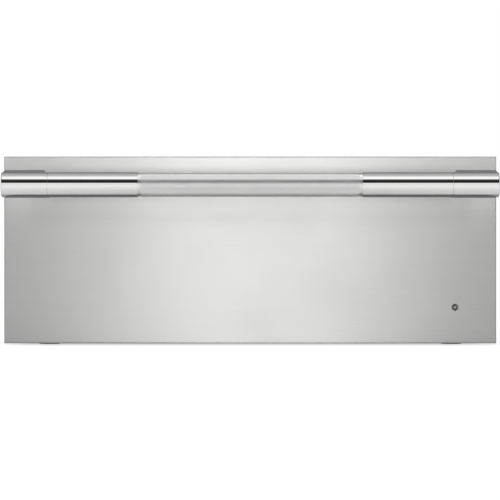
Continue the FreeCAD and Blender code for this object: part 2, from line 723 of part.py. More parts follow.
def make_heating():
    """Element, its support bars and shield, the probe, the thermostat and the supply terminals."""
    rod = D.element_diameter / 2
    turn_radius = D.element_pitch / 2
    front = frame_y + D.element_front + turn_radius
    rear = cavity_back_y - D.element_rear_turn
    tail = liner_back_y + D.element_tail
    inner_x = turn_radius

    element = new_body("heating_element")
    spine = Profile(element, "ElementSpine", "XY_Plane", element_z)
    ends = [(-element_x, tail)]
    bends = {}
    for left_x, right_x, base, forward in ((-element_x, -inner_x, front, True),
                                           (-inner_x, inner_x, rear, False),
                                           (inner_x, element_x, front, True)):
        middle = (left_x + right_x) / 2
        apex = base - turn_radius if forward else base + turn_radius
        bends[len(ends)] = ((middle, base), turn_radius, forward)
        bends[len(ends) + 1] = ((middle, base), turn_radius, forward)
        ends += [(left_x, base), (middle, apex), (right_x, base)]
    ends.append((element_x, tail))
    spine.run(ends, bends)
    section = Profile(element, "ElementSection", "XZ_Plane", tail)
    section.circle(-element_x, element_z, rod)
    pipe = element.newObject("PartDesign::AdditivePipe", "ElementPipe")
    pipe.Profile = section.sketch
    pipe.Spine = (spine.sketch, [f"Edge{number}" for number in range(1, len(ends))])
    settle(pipe)
    publish(element)

    bars = new_body("element_bars")
    bar_half = element_x + D.element_pitch / 4
    bar_top = element_z - rod
    bar_places = (front, (front + rear) / 2, rear)
    add(bars, "YZ_Plane", -bar_half, bar_half * 2, lambda profile: [profile.path([
        (place, cavity_floor), (place + D.liner_rim, cavity_floor),
        (place + D.liner_rim, cavity_floor + D.element_bar),
        (place + D.element_bar, cavity_floor + D.element_bar),
        (place + D.element_bar, bar_top), (place, bar_top)]) for place in bar_places])
    publish(bars)

    shield = new_body("element_shield")
    shield_half = element_x + D.element_pitch / 2
    shield_top = cavity_floor + D.shield_rise
    shield_front = front - turn_radius - D.liner_rim * 2
    shield_rear = cavity_back_y - D.liner_rim * 2
    outline = [(shield_half, cavity_floor), (shield_half, shield_top), (-shield_half, shield_top),
               (-shield_half, cavity_floor), (-shield_half + D.shield_sheet, cavity_floor),
               (-shield_half + D.shield_sheet, shield_top - D.shield_sheet),
               (shield_half - D.shield_sheet, shield_top - D.shield_sheet),
               (shield_half - D.shield_sheet, cavity_floor)]
    add(shield, "XZ_Plane", shield_front, shield_rear - shield_front, lambda profile: profile.path(outline))
    soften(shield, "Fillet", D.shield_sheet * 2,
           lambda edge: runs(edge, AXIS_Y) and lies(edge, AXIS_Z, shield_top))
    slot_x = -element_x
    slot_y = shield_front + D.shield_slot
    slot = cut(shield, "XY_Plane", shield_top - D.shield_sheet, D.shield_sheet,
               lambda profile: profile.box(slot_x - D.shield_slot / 2, slot_y - D.shield_slot_width / 2,
                                           slot_x + D.shield_slot / 2, slot_y + D.shield_slot_width / 2))
    spread = (shield_rear - shield_front - D.shield_slot * 2) / (SHIELD_ROWS - 1)
    repeat(shield, slot, [("X_Axis", element_x * 2 / (SHIELD_COLUMNS - 1), SHIELD_COLUMNS),
                          ("Y_Axis", spread, SHIELD_ROWS)])
    publish(shield)

    probe = new_body("cavity_probe")
    add(probe, "XZ_Plane", cavity_back_y - D.sensor_reach, D.sensor_reach + D.sensor_tail,
        lambda profile: profile.circle(sensor_x, sensor_z, D.sensor_diameter / 2))
    soften(probe, "Fillet", D.sensor_diameter / 3,
           lambda edge: lies(edge, AXIS_Y, cavity_back_y - D.sensor_reach))
    add(probe, "XZ_Plane", cavity_back_y - D.element_bar, D.element_bar,
        lambda profile: profile.box(sensor_x - D.sensor_diameter * 2, sensor_z - D.sensor_diameter,
                                    sensor_x + D.sensor_diameter * 2, sensor_z + D.sensor_diameter))
    publish(probe)

    stat = new_body("limit_thermostat")
    add(stat, "XZ_Plane", liner_back_y, D.element_bar,
        lambda profile: profile.box(-D.stat_diameter * 0.75, stat_z - D.stat_diameter / 2,
                                    D.stat_diameter * 0.75, stat_z + D.stat_diameter / 2))
    add(stat, "XZ_Plane", liner_back_y, D.stat_length,
        lambda profile: profile.circle(0, stat_z, D.stat_diameter / 2))
    add(stat, "XZ_Plane", liner_back_y + D.stat_length / 2, D.stat_length,
        lambda profile: [profile.box(side * D.stat_diameter / 4 - 0.4, stat_z - 3.0,
                                     side * D.stat_diameter / 4 + 0.4, stat_z + 3.0) for side in (-1, 1)])
    publish(stat)

    block = new_body("terminal_block")
    block_x = bush_x - D.terminal_length * 1.5
    block_low = case_low + D.case_sheet
    block_rear = panel_y - D.back_lip - D.case_sheet
    block_front = block_rear - D.terminal_depth
    add(block, "XY_Plane", block_low, D.terminal_height / 2,
        lambda profile: profile.box(block_x, block_front, block_x + D.terminal_length, block_rear))
    wall = D.terminal_length / 20
    step = (D.terminal_length - wall) / 3
    add(block, "XY_Plane", block_low, D.terminal_height,
        lambda profile: [profile.box(block_x + step * place, block_front,
                                     block_x + step * place + wall, block_rear) for place in range(4)])
    seat = block_low + D.terminal_height / 2
    places = [(block_x + step * (place + 0.5) + wall / 2, block_front + D.terminal_depth * share)
              for place in range(3) for share in (0.27, 0.73)]
    cut(block, "XY_Plane", seat - D.terminal_screw, D.terminal_screw,
        lambda profile: [profile.circle(across, along, D.terminal_screw / 2 + D.sleeve_clearance)
                         for across, along in places])
    publish(block)
    screws("terminal_screws", "XY_Plane", seat, places, D.terminal_screw, D.terminal_screw,
           D.terminal_screw * 2, side=-1)


SHIELD_ROWS = 7
SHIELD_COLUMNS = 5

# Slides: u runs from the cavity wall inwards, v from the slide's middle line
ball_radius = D.ball_diameter / 2
race = ball_radius + D.race_clearance
race_back = race + D.slide_gauge
outer_u = race_back
outer_v = D.slide_height / 2 - race_back
inner_u = outer_u + (race + race_back) * D.race_turn.cosine()
inner_v = outer_v - (race + race_back) * D.race_turn.sine()
slide_z = cavity_floor + D.slide_axis_rise
slide_y = frame_y + D.slide_setback
slide_length = liner_back_y - D.slide_rear_gap - slide_y
travel = slide_length - D.travel_loss
cage_length = slide_length - travel / 2 - D.cage_margin * 2
cage_y = slide_y + (slide_length - cage_length) / 2
rail_outer = cavity_half - D.slide_thick
rail_inner = rail_outer - D.rail_sheet


def at(u, v):
    """A slide point in the front view."""
    return cavity_half - u, slide_z + v


def draw_member(profile, chain, arcs):
    """Close a member's section from its upper half: the lower half mirrors it."""
    count = len(chain)
    points = [at(u, v) for u, v in chain] + [at(u, -v) for u, v in reversed(chain)]
    bends = {}
    for side, (u, v, radius, left) in arcs.items():
        bends[side] = (at(u, v), radius, not left)
        bends[2 * count - 2 - side] = (at(u, -v), radius, not left)
    profile.path(points, bends)


def outer_section(profile):
    """Outer member: a web with a raceway curled over at each edge."""
    chain = [(Size.of(0), outer_v), (outer_u, outer_v + race_back), (race_back * 2, outer_v),
             (outer_u + race, outer_v), (outer_u, outer_v + race), (D.slide_gauge, outer_v)]
    arcs = {side: (outer_u, outer_v, race_back, False) for side in (0, 1)}
    arcs.update({side: (outer_u, outer_v, race, True) for side in (3, 4)})
    draw_member(profile, chain, arcs)


def middle_section(profile):
    """Middle member: each edge is an S that runs under one ball and over the next."""
    cosine, sine = D.race_turn.cosine(), D.race_turn.sine()
    web_top = outer_v - (race * race - D.slide_gauge * D.slide_gauge).root()
    chain = [(outer_u - D.slide_gauge, web_top), (outer_u + race * cosine, outer_v - race * sine),
             (inner_u + race_back, inner_v), (inner_u + race, inner_v),
             (inner_u - race * cosine, inner_v + race * sine), (outer_u, outer_v - race_back)]
    arcs = {0: (outer_u, outer_v, race, True), 1: (inner_u, inner_v, race_back, False),
            3: (inner_u, inner_v, race, True), 4: (outer_u, outer_v, race_back, False)}
    draw_member(profile, chain, arcs)


def inner_section(profile):
    """Inner member: a channel whose edges curl up under the inner balls."""
    cosine, sine = D.race_wrap.cosine(), D.race_wrap.sine()
    chain = [(D.slide_thick, inner_v - race), (inner_u, inner_v - race),
             (inner_u - race * sine, inner_v - race * cosine),
             (inner_u - race_back * sine, inner_v - race_back * cosine),
             (inner_u, inner_v - race_back), (D.slide_thick - D.slide_gauge, inner_v - race_back)]
    arcs = {1: (inner_u, inner_v, race, False), 3: (inner_u, inner_v, race_back, True)}
    draw_member(profile, chain, arcs)


def cage_section(profile, near_u, far_u, level):
    """Ball cage: a thin channel that reaches out along both ball rows."""
    half = D.cage_sheet / 2
    chain = [(near_u, level + half), (far_u, level + half), (far_u, level - half),
             (near_u + D.cage_sheet, level - half)]
    draw_member(profile, chain, {})


def ball_places():
    """Where the balls sit along the slide."""
    count = int(D.ball_count.value)
    return [cage_y + cage_length * ((place + 0.5) / count) for place in range(count)]


def make_cage(stem, near_u, far_u, level, ball_u, ball_v):
    """One pair of ball cages, and the balls of both in one node."""
    cage = new_body(stem + "_cage")
    add(cage, "XZ_Plane", cage_y, cage_length, lambda profile: cage_section(profile, near_u, far_u, level))
    pocket = ball_radius + D.race_clearance
    for side in (-1, 1):
        middle = slide_z + side * ball_v
        cut(cage, "XY_Plane", middle - ball_radius, D.ball_diameter,
            lambda profile: [profile.circle(cavity_half - ball_u, along, pocket) for along in ball_places()])
    pair(cage, stem + "_cage")
    balls = []
    for side in (-1, 1):
        for row in (-1, 1):
            for along in ball_places():
                ball = DOC.addObject("Part::Sphere", stem + "_ball")
                bind(ball, "Radius", ball_radius)
                bind(ball, "Placement.Base.x", side * (cavity_half - ball_u))
                bind(ball, "Placement.Base.y", along)
                bind(ball, "Placement.Base.z", slide_z + row * ball_v)
                balls.append(ball)
    group(stem + "_balls", balls)


def make_slides():
    """Three-member full-extension slides with caged balls, one on each side."""
    for stem, section in (("slide_outer", outer_section), ("slide_middle", middle_section),
                          ("slide_inner", inner_section)):
        member = new_body(stem)
        add(member, "XZ_Plane", slide_y, slide_length, section)
        pair(member, stem)
    gap = D.cage_gap
    make_cage("outer", D.slide_gauge + gap / 2, outer_u + race - gap, outer_v, outer_u, outer_v)
    make_cage("inner", outer_u + gap, inner_u + race - gap, inner_v - D.cage_sheet, inner_u, inner_v)


# Drawer pan and rails
rim_z = cavity_floor + D.pan_rise
ledge_z = rim_z - D.pan_sheet
rim_half = rail_inner - D.rail_side_gap
pan_half = rim_half - D.pan_rim_sides
pan_front_y = front_back_y + D.pan_setback + D.pan_sheet
pan_floor_z = rim_z - D.pan_depth
rail_rear_y = slide_y + slide_length
pan_rear_y = rail_rear_y - D.pan_rim_ends - D.pan_sheet
pan_length = pan_rear_y - pan_front_y


def rail_screw_places():
    """Pan screws through the rim into the side rails."""
    across = rail_outer - D.rail_flange / 2
    reach = pan_length / 2 - D.pan_corner * 2
    middle = (pan_front_y + pan_rear_y) / 2
    return [(side * across, middle + step * reach) for side in (-1, 1) for step in (-1, 0, 1)]


def draw_rim(profile):
    """The pan's flat rim, from its mouth out over the side rails."""
    sheet = D.pan_sheet
    profile.round_box(-rim_half, pan_front_y - sheet - D.pan_rim_ends, rim_half,
                      pan_rear_y + sheet + D.pan_rim_ends, D.pan_rim_ends)
    profile.round_box(-pan_half, pan_front_y, pan_half, pan_rear_y, D.pan_corner)


def make_pan():
    """Deep-drawn pan with a flat rim, hung on two folded side rails."""
    sheet = D.pan_sheet
    hole = D.pan_screw / 2 + D.screw_clearance
    pan = new_body("drawer_pan")
    add(pan, "XY_Plane", pan_floor_z - sheet, rim_z - pan_floor_z + sheet,
        lambda profile: profile.round_box(-pan_half - sheet, pan_front_y - sheet, pan_half + sheet,
                                          pan_rear_y + sheet, D.pan_corner + sheet))
    soften(pan, "Fillet", D.pan_floor_bend + sheet, lambda edge: lies(edge, AXIS_Z, pan_floor_z - sheet))
    hollow(pan, sheet, lambda face: face.CenterOfMass.z > ledge_z.value)
    add(pan, "XY_Plane", ledge_z, sheet, draw_rim)
    cut(pan, "XY_Plane", ledge_z, sheet,
        lambda profile: [profile.circle(across, along, hole) for across, along in rail_screw_places()])
    publish(pan)

    rail = new_body("side_rail")
    low = slide_z - D.rail_low
    ledge = ledge_z - D.rail_sheet
    outline = [(rail_outer, low), (rail_outer, ledge_z), (rail_outer - D.rail_flange, ledge_z),
               (rail_outer - D.rail_flange, ledge), (rail_inner, ledge), (rail_inner, low)]
    add(rail, "XZ_Plane", front_back_y, rail_rear_y - front_back_y, lambda profile: profile.path(outline))
    soften(rail, "Fillet", D.rail_sheet * 2,
           lambda edge: runs(edge, AXIS_Y) and lies(edge, AXIS_X, rail_outer) and lies(edge, AXIS_Z, ledge_z))
    cut(rail, "XY_Plane", ledge, D.rail_sheet,
        lambda profile: [profile.circle(across, along, D.pan_screw / 2 + D.sleeve_clearance)
                         for across, along in rail_screw_places() if across.value > 0])
    pair(rail, "side_rail")
    screws("pan_screws", "XY_Plane", rim_z, rail_screw_places(), D.pan_screw, D.screw_bite,
           D.pan_screw * 2, side=-1)

    angle = new_body("front_angle")
    leg = D.bracket_leg
    thick = D.bracket_sheet
    outline = [(rail_inner, front_back_y), (rail_inner, front_back_y + leg),
               (rail_inner - thick, front_back_y + leg),
               (rail_inner - thick, front_back_y + thick), (rail_inner - leg, front_back_y + thick),
               (rail_inner - leg, front_back_y)]
    add(angle, "XY_Plane", low, ledge - D.pan_screw - low, lambda profile: profile.path(outline))
    soften(angle, "Fillet", thick,
           lambda edge: (runs(edge, AXIS_Z) and lies(edge, AXIS_X, rail_inner)
                         and lies(edge, AXIS_Y, front_back_y)))
    pair(angle, "front_angle")


# Front, with its light, controls and handle
skin_back_y = face_y + D.skin
console_low = front_top - D.skin - D.console_drop
console_y = (skin_back_y + front_back_y - D.panel_sheet) / 2
fascia_top = front_top - D.console_recess
fascia_low = fascia_top - D.console_sheet
light_z = front_low + D.light_height
light_x = front_half - D.light_inset
cap_inner_x = front_half - D.cap_length
core_radius = D.core_diameter / 2
tube_radius = D.tube_diameter / 2


def handle_screw_places():
    """Two screws into each end bracket, side by side."""
    middle = front_half - D.cap_length / 2
    return [(side * (middle + step * D.handle_screw_pitch / 2), handle_z) for side in (-1, 1)
            for step in (-1, 1)]


def vent_places():
    count = int(D.vent_count.value)
    return [(place - (count - 1) / 2) * D.vent_pitch for place in range(count)]


vent_z = rim_z + D.vent_rise


def draw_vent(profile, shift):
    """The vent's slots, moved sideways by shift."""
    for middle in vent_places():
        profile.box(middle + shift - D.vent_slot_length / 2, vent_z - D.vent_slot_height / 2,
                    middle + shift + D.vent_slot_length / 2, vent_z + D.vent_slot_height / 2)


def top_slot_places():
    """Middles of the outlet slots in the top edge, beside the control strip."""
    start = D.console_width / 2 + D.vent_pitch
    return [side * (start + step * D.top_slot_pitch) for side in (-1, 1) for step in range(TOP_SLOTS)]


TOP_SLOTS = 4


def make_front():
    """Folded stainless skin, inner panel, insulation and the moisture vent."""
    skin = new_body("front_skin")
    add(skin, "XZ_Plane", face_y, D.front_depth,
        lambda profile: profile.box(-front_half, front_low, front_half, front_top))
    soften(skin, "Fillet", D.skin_bend, lambda edge: lies(edge, AXIS_Y, face_y))
    cut(skin, "XZ_Plane", skin_back_y, D.front_depth - D.skin,
        lambda profile: profile.box(-front_half + D.skin, front_low + D.skin, front_half - D.skin,
                                    front_top - D.skin))
    soften(skin, "Fillet", D.skin_bend - D.skin, lambda edge: lies(edge, AXIS_Y, skin_back_y))
    hole = D.handle_screw / 2 + D.screw_clearance
    cut(skin, "XZ_Plane", face_y, D.skin,
        lambda profile: [profile.circle(across, up, hole) for across, up in handle_screw_places()])
    cut(skin, "XZ_Plane", face_y, D.skin,
        lambda profile: profile.circle(light_x, light_z, D.bezel_body / 2 + D.sleeve_clearance))
    cut(skin, "XY_Plane", front_top - D.skin, D.skin,
        lambda profile: profile.box(-D.console_width / 2, console_y - D.console_depth / 2,
                                    D.console_width / 2,
                                    console_y + D.console_depth / 2))
    cut(skin, "XY_Plane", front_top - D.skin, D.skin,
        lambda profile: [profile.box(middle - D.top_slot / 2, console_y - D.top_slot_width / 2,
                                     middle + D.top_slot / 2, console_y + D.top_slot_width / 2)
                         for middle in top_slot_places()])
    publish(skin)

    panel = new_body("front_inner_panel")
    half = front_half - D.skin - D.panel_clearance
    low = front_low + D.skin + D.panel_clearance
    high = front_top - D.skin - D.panel_clearance
    sheet = D.panel_sheet
    add(panel, "XZ_Plane", front_back_y - D.panel_lip, D.panel_lip,
        lambda profile: profile.box(-half, low, half, high))
    cut(panel, "XZ_Plane", front_back_y - D.panel_lip, D.panel_lip - sheet,
        lambda profile: profile.box(-half + sheet, low + sheet, half - sheet, high - sheet))
    slack = D.panel_clearance * 2
    cut(panel, "XY_Plane", high - sheet, sheet,
        lambda profile: profile.box(-console_half - slack, front_back_y - D.panel_lip, console_half + slack,
                                    front_back_y - sheet))
    cut(panel, "XZ_Plane", front_back_y - sheet, sheet, lambda profile: draw_vent(profile, 0))
    publish(panel)

    wool = new_body("front_insulation")
    wool_half = half - sheet * 3
    wool_top = console_low - sheet * 2
    wool_rear = front_back_y - sheet - D.panel_clearance
    add(wool, "XZ_Plane", skin_back_y, wool_rear - skin_back_y,
        lambda profile: profile.box(-wool_half, low + sheet * 3, wool_half, wool_top))
    cut(wool, "XZ_Plane", skin_back_y, wool_rear - skin_back_y,
        lambda profile: profile.circle(light_x, light_z, D.light_board))
    cut(wool, "XZ_Plane", skin_back_y, D.handle_screw,
        lambda profile: [profile.circle(across, up, D.handle_screw * 1.5)
                         for across, up in handle_screw_places()])
    chase = D.vent_pitch * D.vent_count.value / 2
    cut(wool, "XZ_Plane", wool_rear - D.panel_lip, D.panel_lip,
        lambda profile: profile.box(-chase, vent_z - D.vent_slot_height, chase, wool_top))
    publish(wool)

    slider = new_body("vent_slider")
    slider_front = front_back_y + D.vent_clearance
    margin = D.vent_margin
    reach = (D.vent_count.value - 1) / 2 * D.vent_pitch + D.vent_slot_length / 2 + margin
    slider_low = vent_z - D.vent_slot_height / 2 - margin
    slider_high = vent_z + D.vent_slot_height / 2 + margin
    slider_end = reach + D.vent_travel
    add(slider, "XZ_Plane", slider_front, D.vent_sheet,
        lambda profile: profile.box(-reach, slider_low, slider_end + D.vent_tab, slider_high))
    cut(slider, "XZ_Plane", slider_front, D.vent_sheet, lambda profile: draw_vent(profile, D.vent_travel))
    add(slider, "XZ_Plane", slider_front, D.vent_sheet + D.vent_tab,
        lambda profile: profile.box(slider_end + D.vent_tab / 2, vent_z - margin,
                                    slider_end + D.vent_tab, vent_z + margin))
    soften(slider, "Fillet", margin / 2, lambda edge: runs(edge, AXIS_X) and lies(
        edge, AXIS_Y, slider_front + D.vent_sheet + D.vent_tab))
    publish(slider)

    guides = new_body("vent_guides")
    slot_y = D.vent_clearance * 2 + D.vent_sheet
    guide_left = -reach - D.vent_travel - margin
    guide_right = slider_end + margin
    for sign, level in ((-1, slider_low), (1, slider_high)):
        near = level + sign * D.vent_clearance
        far = near + sign * D.guide_width
        lip = level - sign * D.guide_grip
        outline = [(front_back_y, near), (front_back_y, far), (front_back_y + slot_y + D.vent_sheet, far),
                   (front_back_y + slot_y + D.vent_sheet, lip), (front_back_y + slot_y, lip),
                   (front_back_y + slot_y, near)]
        add(guides, "YZ_Plane", guide_left, guide_right - guide_left, lambda profile: profile.path(outline))
    publish(guides)


console_half = D.console_width / 2 + D.console_wall


def button_places():
    """Middles of the four push buttons along the control strip."""
    return [(step - 1.5) * D.button_pitch for step in range(4)]


def make_controls():
    """Control housing under the top edge, its strip, board, switches and buttons."""
    wall = D.console_wall
    depth_half = D.console_depth / 2
    rim = front_top - D.skin
    housing = new_body("control_housing")
    body_half = depth_half + wall
    add(housing, "XY_Plane", console_low, rim - console_low,
        lambda profile: profile.round_box(-console_half, console_y - body_half, console_half,
                                          console_y + body_half, wall))
    inner_half = console_half - wall
    cut(housing, "XY_Plane", console_low + wall, rim - console_low - wall,
        lambda profile: profile.box(-inner_half, console_y - depth_half, inner_half, console_y + depth_half))
    publish(housing)

    fascia = new_body("control_fascia")
    gap = D.panel_clearance
    add(fascia, "XY_Plane", fascia_low, D.console_sheet,
        lambda profile: profile.box(-inner_half + gap, console_y - depth_half + gap, inner_half - gap,
                                    console_y + depth_half - gap))
    clear = D.button_clearance
    cut(fascia, "XY_Plane", fascia_low, D.console_sheet,
        lambda profile: [profile.round_box(middle - D.button_length / 2 - clear,
                                           console_y - D.button_width / 2 - clear,
                                           middle + D.button_length / 2 + clear,
                                           console_y + D.button_width / 2 + clear, wall)
                         for middle in button_places()])
    publish(fascia)

    skirt_top = fascia_low - D.switch_gap
    skirt_low = skirt_top - D.skirt
    switch_top = skirt_low - D.button_travel - D.switch_gap
    board_top = switch_top - D.switch_body / 2
    board = new_body("control_board")
    add(board, "XY_Plane", board_top - D.board_thick, D.board_thick,
        lambda profile: profile.box(-inner_half + gap, console_y - depth_half + gap, inner_half - gap,
                                    console_y + depth_half - gap))
    add(board, "XY_Plane", board_top, D.switch_body / 2,
        lambda profile: [profile.box(middle - D.switch_body / 2, console_y - D.switch_body / 2,
                                     middle + D.switch_body / 2, console_y + D.switch_body / 2)
                         for middle in button_places()])
    publish(board)

    for name, middle in zip(("power", "low", "medium", "high"), button_places()):
        button = new_body("button_" + name)
        top = fascia_top + D.button_stand
        add(button, "XY_Plane", skirt_top, top - skirt_top,
            lambda profile: profile.round_box(middle - D.button_length / 2, console_y - D.button_width / 2,
                                              middle + D.button_length / 2, console_y + D.button_width / 2,
                                              wall))
        soften(button, "Fillet", wall / 4, lambda edge: lies(edge, AXIS_Z, top))
        grow = D.skirt
        add(button, "XY_Plane", skirt_low, D.skirt,
            lambda profile: profile.box(middle - D.button_length / 2 - grow,
                                        console_y - D.button_width / 2 - grow,
                                        middle + D.button_length / 2 + grow,
                                        console_y + D.button_width / 2 + grow))
        publish(button)

    bezel = new_body("indicator_bezel")
    add(bezel, "XZ_Plane", face_y - D.bezel_stand, D.bezel_stand,
        lambda profile: profile.circle(light_x, light_z, D.bezel_diameter / 2))
    soften(bezel, "Fillet", D.bezel_stand / 2, lambda edge: lies(edge, AXIS_Y, face_y - D.bezel_stand))
    add(bezel, "XZ_Plane", face_y - D.bezel_stand / 2, D.bezel_length + D.bezel_stand / 2,
        lambda profile: profile.circle(light_x, light_z, D.bezel_body / 2))
    lens_radius = D.lens_diameter / 2
    cut(bezel, "XZ_Plane", face_y - D.bezel_stand, D.bezel_length + D.bezel_stand,
        lambda profile: profile.circle(light_x, light_z, lens_radius + D.sleeve_clearance))
    publish(bezel)

    lens = new_body("indicator_lens")
    lens_front = face_y - D.bezel_stand + D.skin / 4
    add(lens, "XZ_Plane", lens_front, face_y + D.bezel_length - lens_front,
        lambda profile: profile.circle(light_x, light_z, lens_radius))
    soften(lens, "Fillet", lens_radius / 2, lambda edge: lies(edge, AXIS_Y, lens_front))
    publish(lens)

    lamp = new_body("indicator_board")
    lamp_y = face_y + D.bezel_length
    add(lamp, "XZ_Plane", lamp_y, D.board_thick,
        lambda profile: profile.box(light_x - D.light_board / 2, light_z - D.light_board / 2,
                                    light_x + D.light_board / 2, light_z + D.light_board / 2))
    publish(lamp)


def draw_root_corner(profile):
    """What is cut off the inner corner of a bracket's root above the tube."""
    low = handle_z + tube_radius
    high = low + D.cap_rise
    far = cap_inner_x + D.cap_edge
    radius = (D.cap_edge * D.cap_edge + D.cap_rise * D.cap_rise) / (D.cap_rise * 2)
    profile.path([(cap_inner_x, low), (cap_inner_x, high + D.cap_rise),
                  (far, high + D.cap_rise), (far, high)],
                 {3: ((far, high - radius), radius, True)})


def make_handle():
    """Full-width bar handle: core tube, knurled grip, two sleeves and two end brackets."""
    core_end = cap_inner_x + D.socket_depth
    core = new_body("handle_core")
    add(core, "YZ_Plane", -core_end, core_end * 2,
        lambda profile: profile.circle(handle_y, handle_z, core_radius))
    cut(core, "YZ_Plane", -core_end, core_end * 2,
        lambda profile: profile.circle(handle_y, handle_z, core_radius - D.core_wall))
    publish(core)

    bore = core_radius + D.sleeve_clearance
    grip_half = D.grip_length / 2
    grip = new_body("handle_grip")
    add(grip, "YZ_Plane", -grip_half, D.grip_length,
        lambda profile: profile.circle(handle_y, handle_z, D.grip_diameter / 2))
    cut(grip, "YZ_Plane", -grip_half, D.grip_length, lambda profile: profile.circle(handle_y, handle_z, bore))
    publish(grip)

    sleeve = new_body("handle_sleeve")
    sleeve_end = cap_inner_x - D.seam_gap
    sleeve_length = sleeve_end - grip_half
    add(sleeve, "YZ_Plane", grip_half, sleeve_length,
        lambda profile: profile.circle(handle_y, handle_z, tube_radius))
    soften(sleeve, "Fillet", D.seam_gap, lambda edge: lies(edge, AXIS_X, sleeve_end))
    soften(sleeve, "Fillet", D.sleeve_edge, lambda edge: lies(edge, AXIS_X, grip_half))
    cut(sleeve, "YZ_Plane", grip_half, sleeve_length,
        lambda profile: profile.circle(handle_y, handle_z, bore))
    pair(sleeve, "handle_sleeve")

    cap = new_body("handle_bracket")
    root_top = handle_z + tube_radius + D.cap_rise
    outline = [(face_y, handle_z - tube_radius), (face_y, root_top), (handle_y, handle_z + tube_radius),
               (nose_y, handle_z), (handle_y, handle_z - tube_radius)]
    arcs = {side: ((handle_y, handle_z), tube_radius, True) for side in (2, 3)}
    add(cap, "YZ_Plane", cap_inner_x, D.cap_length, lambda profile: profile.path(outline, arcs))
    soften(cap, "Fillet", D.cap_dome,
           lambda edge: lies(edge, AXIS_X, front_half) and not lies(edge, AXIS_Y, face_y))
    cut(cap, "XZ_Plane", handle_y, face_y - handle_y, draw_root_corner)
    cut(cap, "YZ_Plane", cap_inner_x, D.socket_depth,
        lambda profile: profile.circle(handle_y, handle_z, bore))
    thread = D.handle_screw / 2
    cut(cap, "XZ_Plane", face_y - D.handle_screw_bite, D.handle_screw_bite,
        lambda profile: [profile.circle(across, up, thread + D.sleeve_clearance)
                         for across, up in handle_screw_places() if across.value > 0])
    pair(cap, "handle_bracket")
    screws("handle_screws", "XZ_Plane", skin_back_y, handle_screw_places(), D.handle_screw,
           D.handle_screw_bite, D.handle_screw * 2, side=-1)


def check_and_write():
    """Refuse a failed object or a bad shape, then write one STEP file per sub-part."""
    DOC.recompute()
    for item in DOC.Objects:
        if "Invalid" in item.State or "Error" in item.State:
            raise RuntimeError(f"{item.Label} failed: {item.State}")
    for item in PARTS:
        if item.Shape.isNull() or not item.Shape.isValid():
            raise RuntimeError(f"{item.Label} has no valid shape")
    os.makedirs("parts", exist_ok=True)
    for item in PARTS:
        item.Shape.exportStep(f"parts/{item.Label}.step")


make_case()
make_bush()
make_feet()
make_front_frame()
make_liner()
make_heating()
make_slides()
make_pan()
make_front()
make_controls()
make_handle()
check_and_write()
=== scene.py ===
"""Looks, light and view of a 30 inch warming drawer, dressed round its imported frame."""

import json
import logging
import math
from dataclasses import dataclass
from enum import Enum
from typing import Callable, Iterable

import bpy
from bpy.types import Collection, Material, Node, NodeTree, Object
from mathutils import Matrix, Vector


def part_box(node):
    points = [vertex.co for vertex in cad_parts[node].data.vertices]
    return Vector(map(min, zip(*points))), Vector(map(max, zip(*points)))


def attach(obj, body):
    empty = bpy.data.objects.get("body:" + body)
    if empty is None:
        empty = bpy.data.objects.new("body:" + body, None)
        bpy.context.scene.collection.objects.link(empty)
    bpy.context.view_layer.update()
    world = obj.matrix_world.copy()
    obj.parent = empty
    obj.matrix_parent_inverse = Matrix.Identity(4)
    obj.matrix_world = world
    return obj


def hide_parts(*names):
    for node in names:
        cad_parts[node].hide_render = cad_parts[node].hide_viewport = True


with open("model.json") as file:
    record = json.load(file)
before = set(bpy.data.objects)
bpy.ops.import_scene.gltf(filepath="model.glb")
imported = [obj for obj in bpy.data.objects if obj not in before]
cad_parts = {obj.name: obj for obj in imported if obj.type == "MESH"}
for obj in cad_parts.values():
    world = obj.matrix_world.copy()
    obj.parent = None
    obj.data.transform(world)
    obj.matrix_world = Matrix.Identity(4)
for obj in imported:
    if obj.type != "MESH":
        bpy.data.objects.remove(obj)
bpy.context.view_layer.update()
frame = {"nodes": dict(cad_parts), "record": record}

LOG = logging.getLogger("warming_drawer")
MM = 0.001
HAIR = 0.01 * MM
QUARTER_TURN = math.pi / 2.0
TURNED_TO_X = (0.0, QUARTER_TURN, 0.0)
TURNED_TO_Y = (QUARTER_TURN, 0.0, 0.0)
# share of a direction above which it runs along an axis, and below which it runs square to it
ALONG = 0.9
SQUARE = 0.1
SIDES = (-1.0, 1.0)
MERGED = 0.002 * MM

Colour = tuple[float, float, float]
Point = tuple[float, float, float]
Span = tuple[float, float]
# width of a rounding and the steps in it
Rounding = tuple[float, int]
Socket = bpy.types.NodeSocket
Sockets = dict[str, Socket]
Number = Socket | float
Shade = Socket | Colour
Test = Callable[[Vector, Vector], bool]


class Grain(Enum):
    """Direction in which a sheet was brushed or rolled."""

    ALONG_X = (1.0, 0.0, 0.0)
    ALONG_Y = (0.0, 1.0, 0.0)

    def stretch(self, along: float, across: float) -> Point:
        """Pattern scale on each axis, in cycles per metre.

        Args:
            along: cycles per metre in the direction of the grain.
            across: cycles per metre square to it.

        Returns:
            The scale on X, Y and Z.
        """
        return tuple(along if part else across for part in self.value)


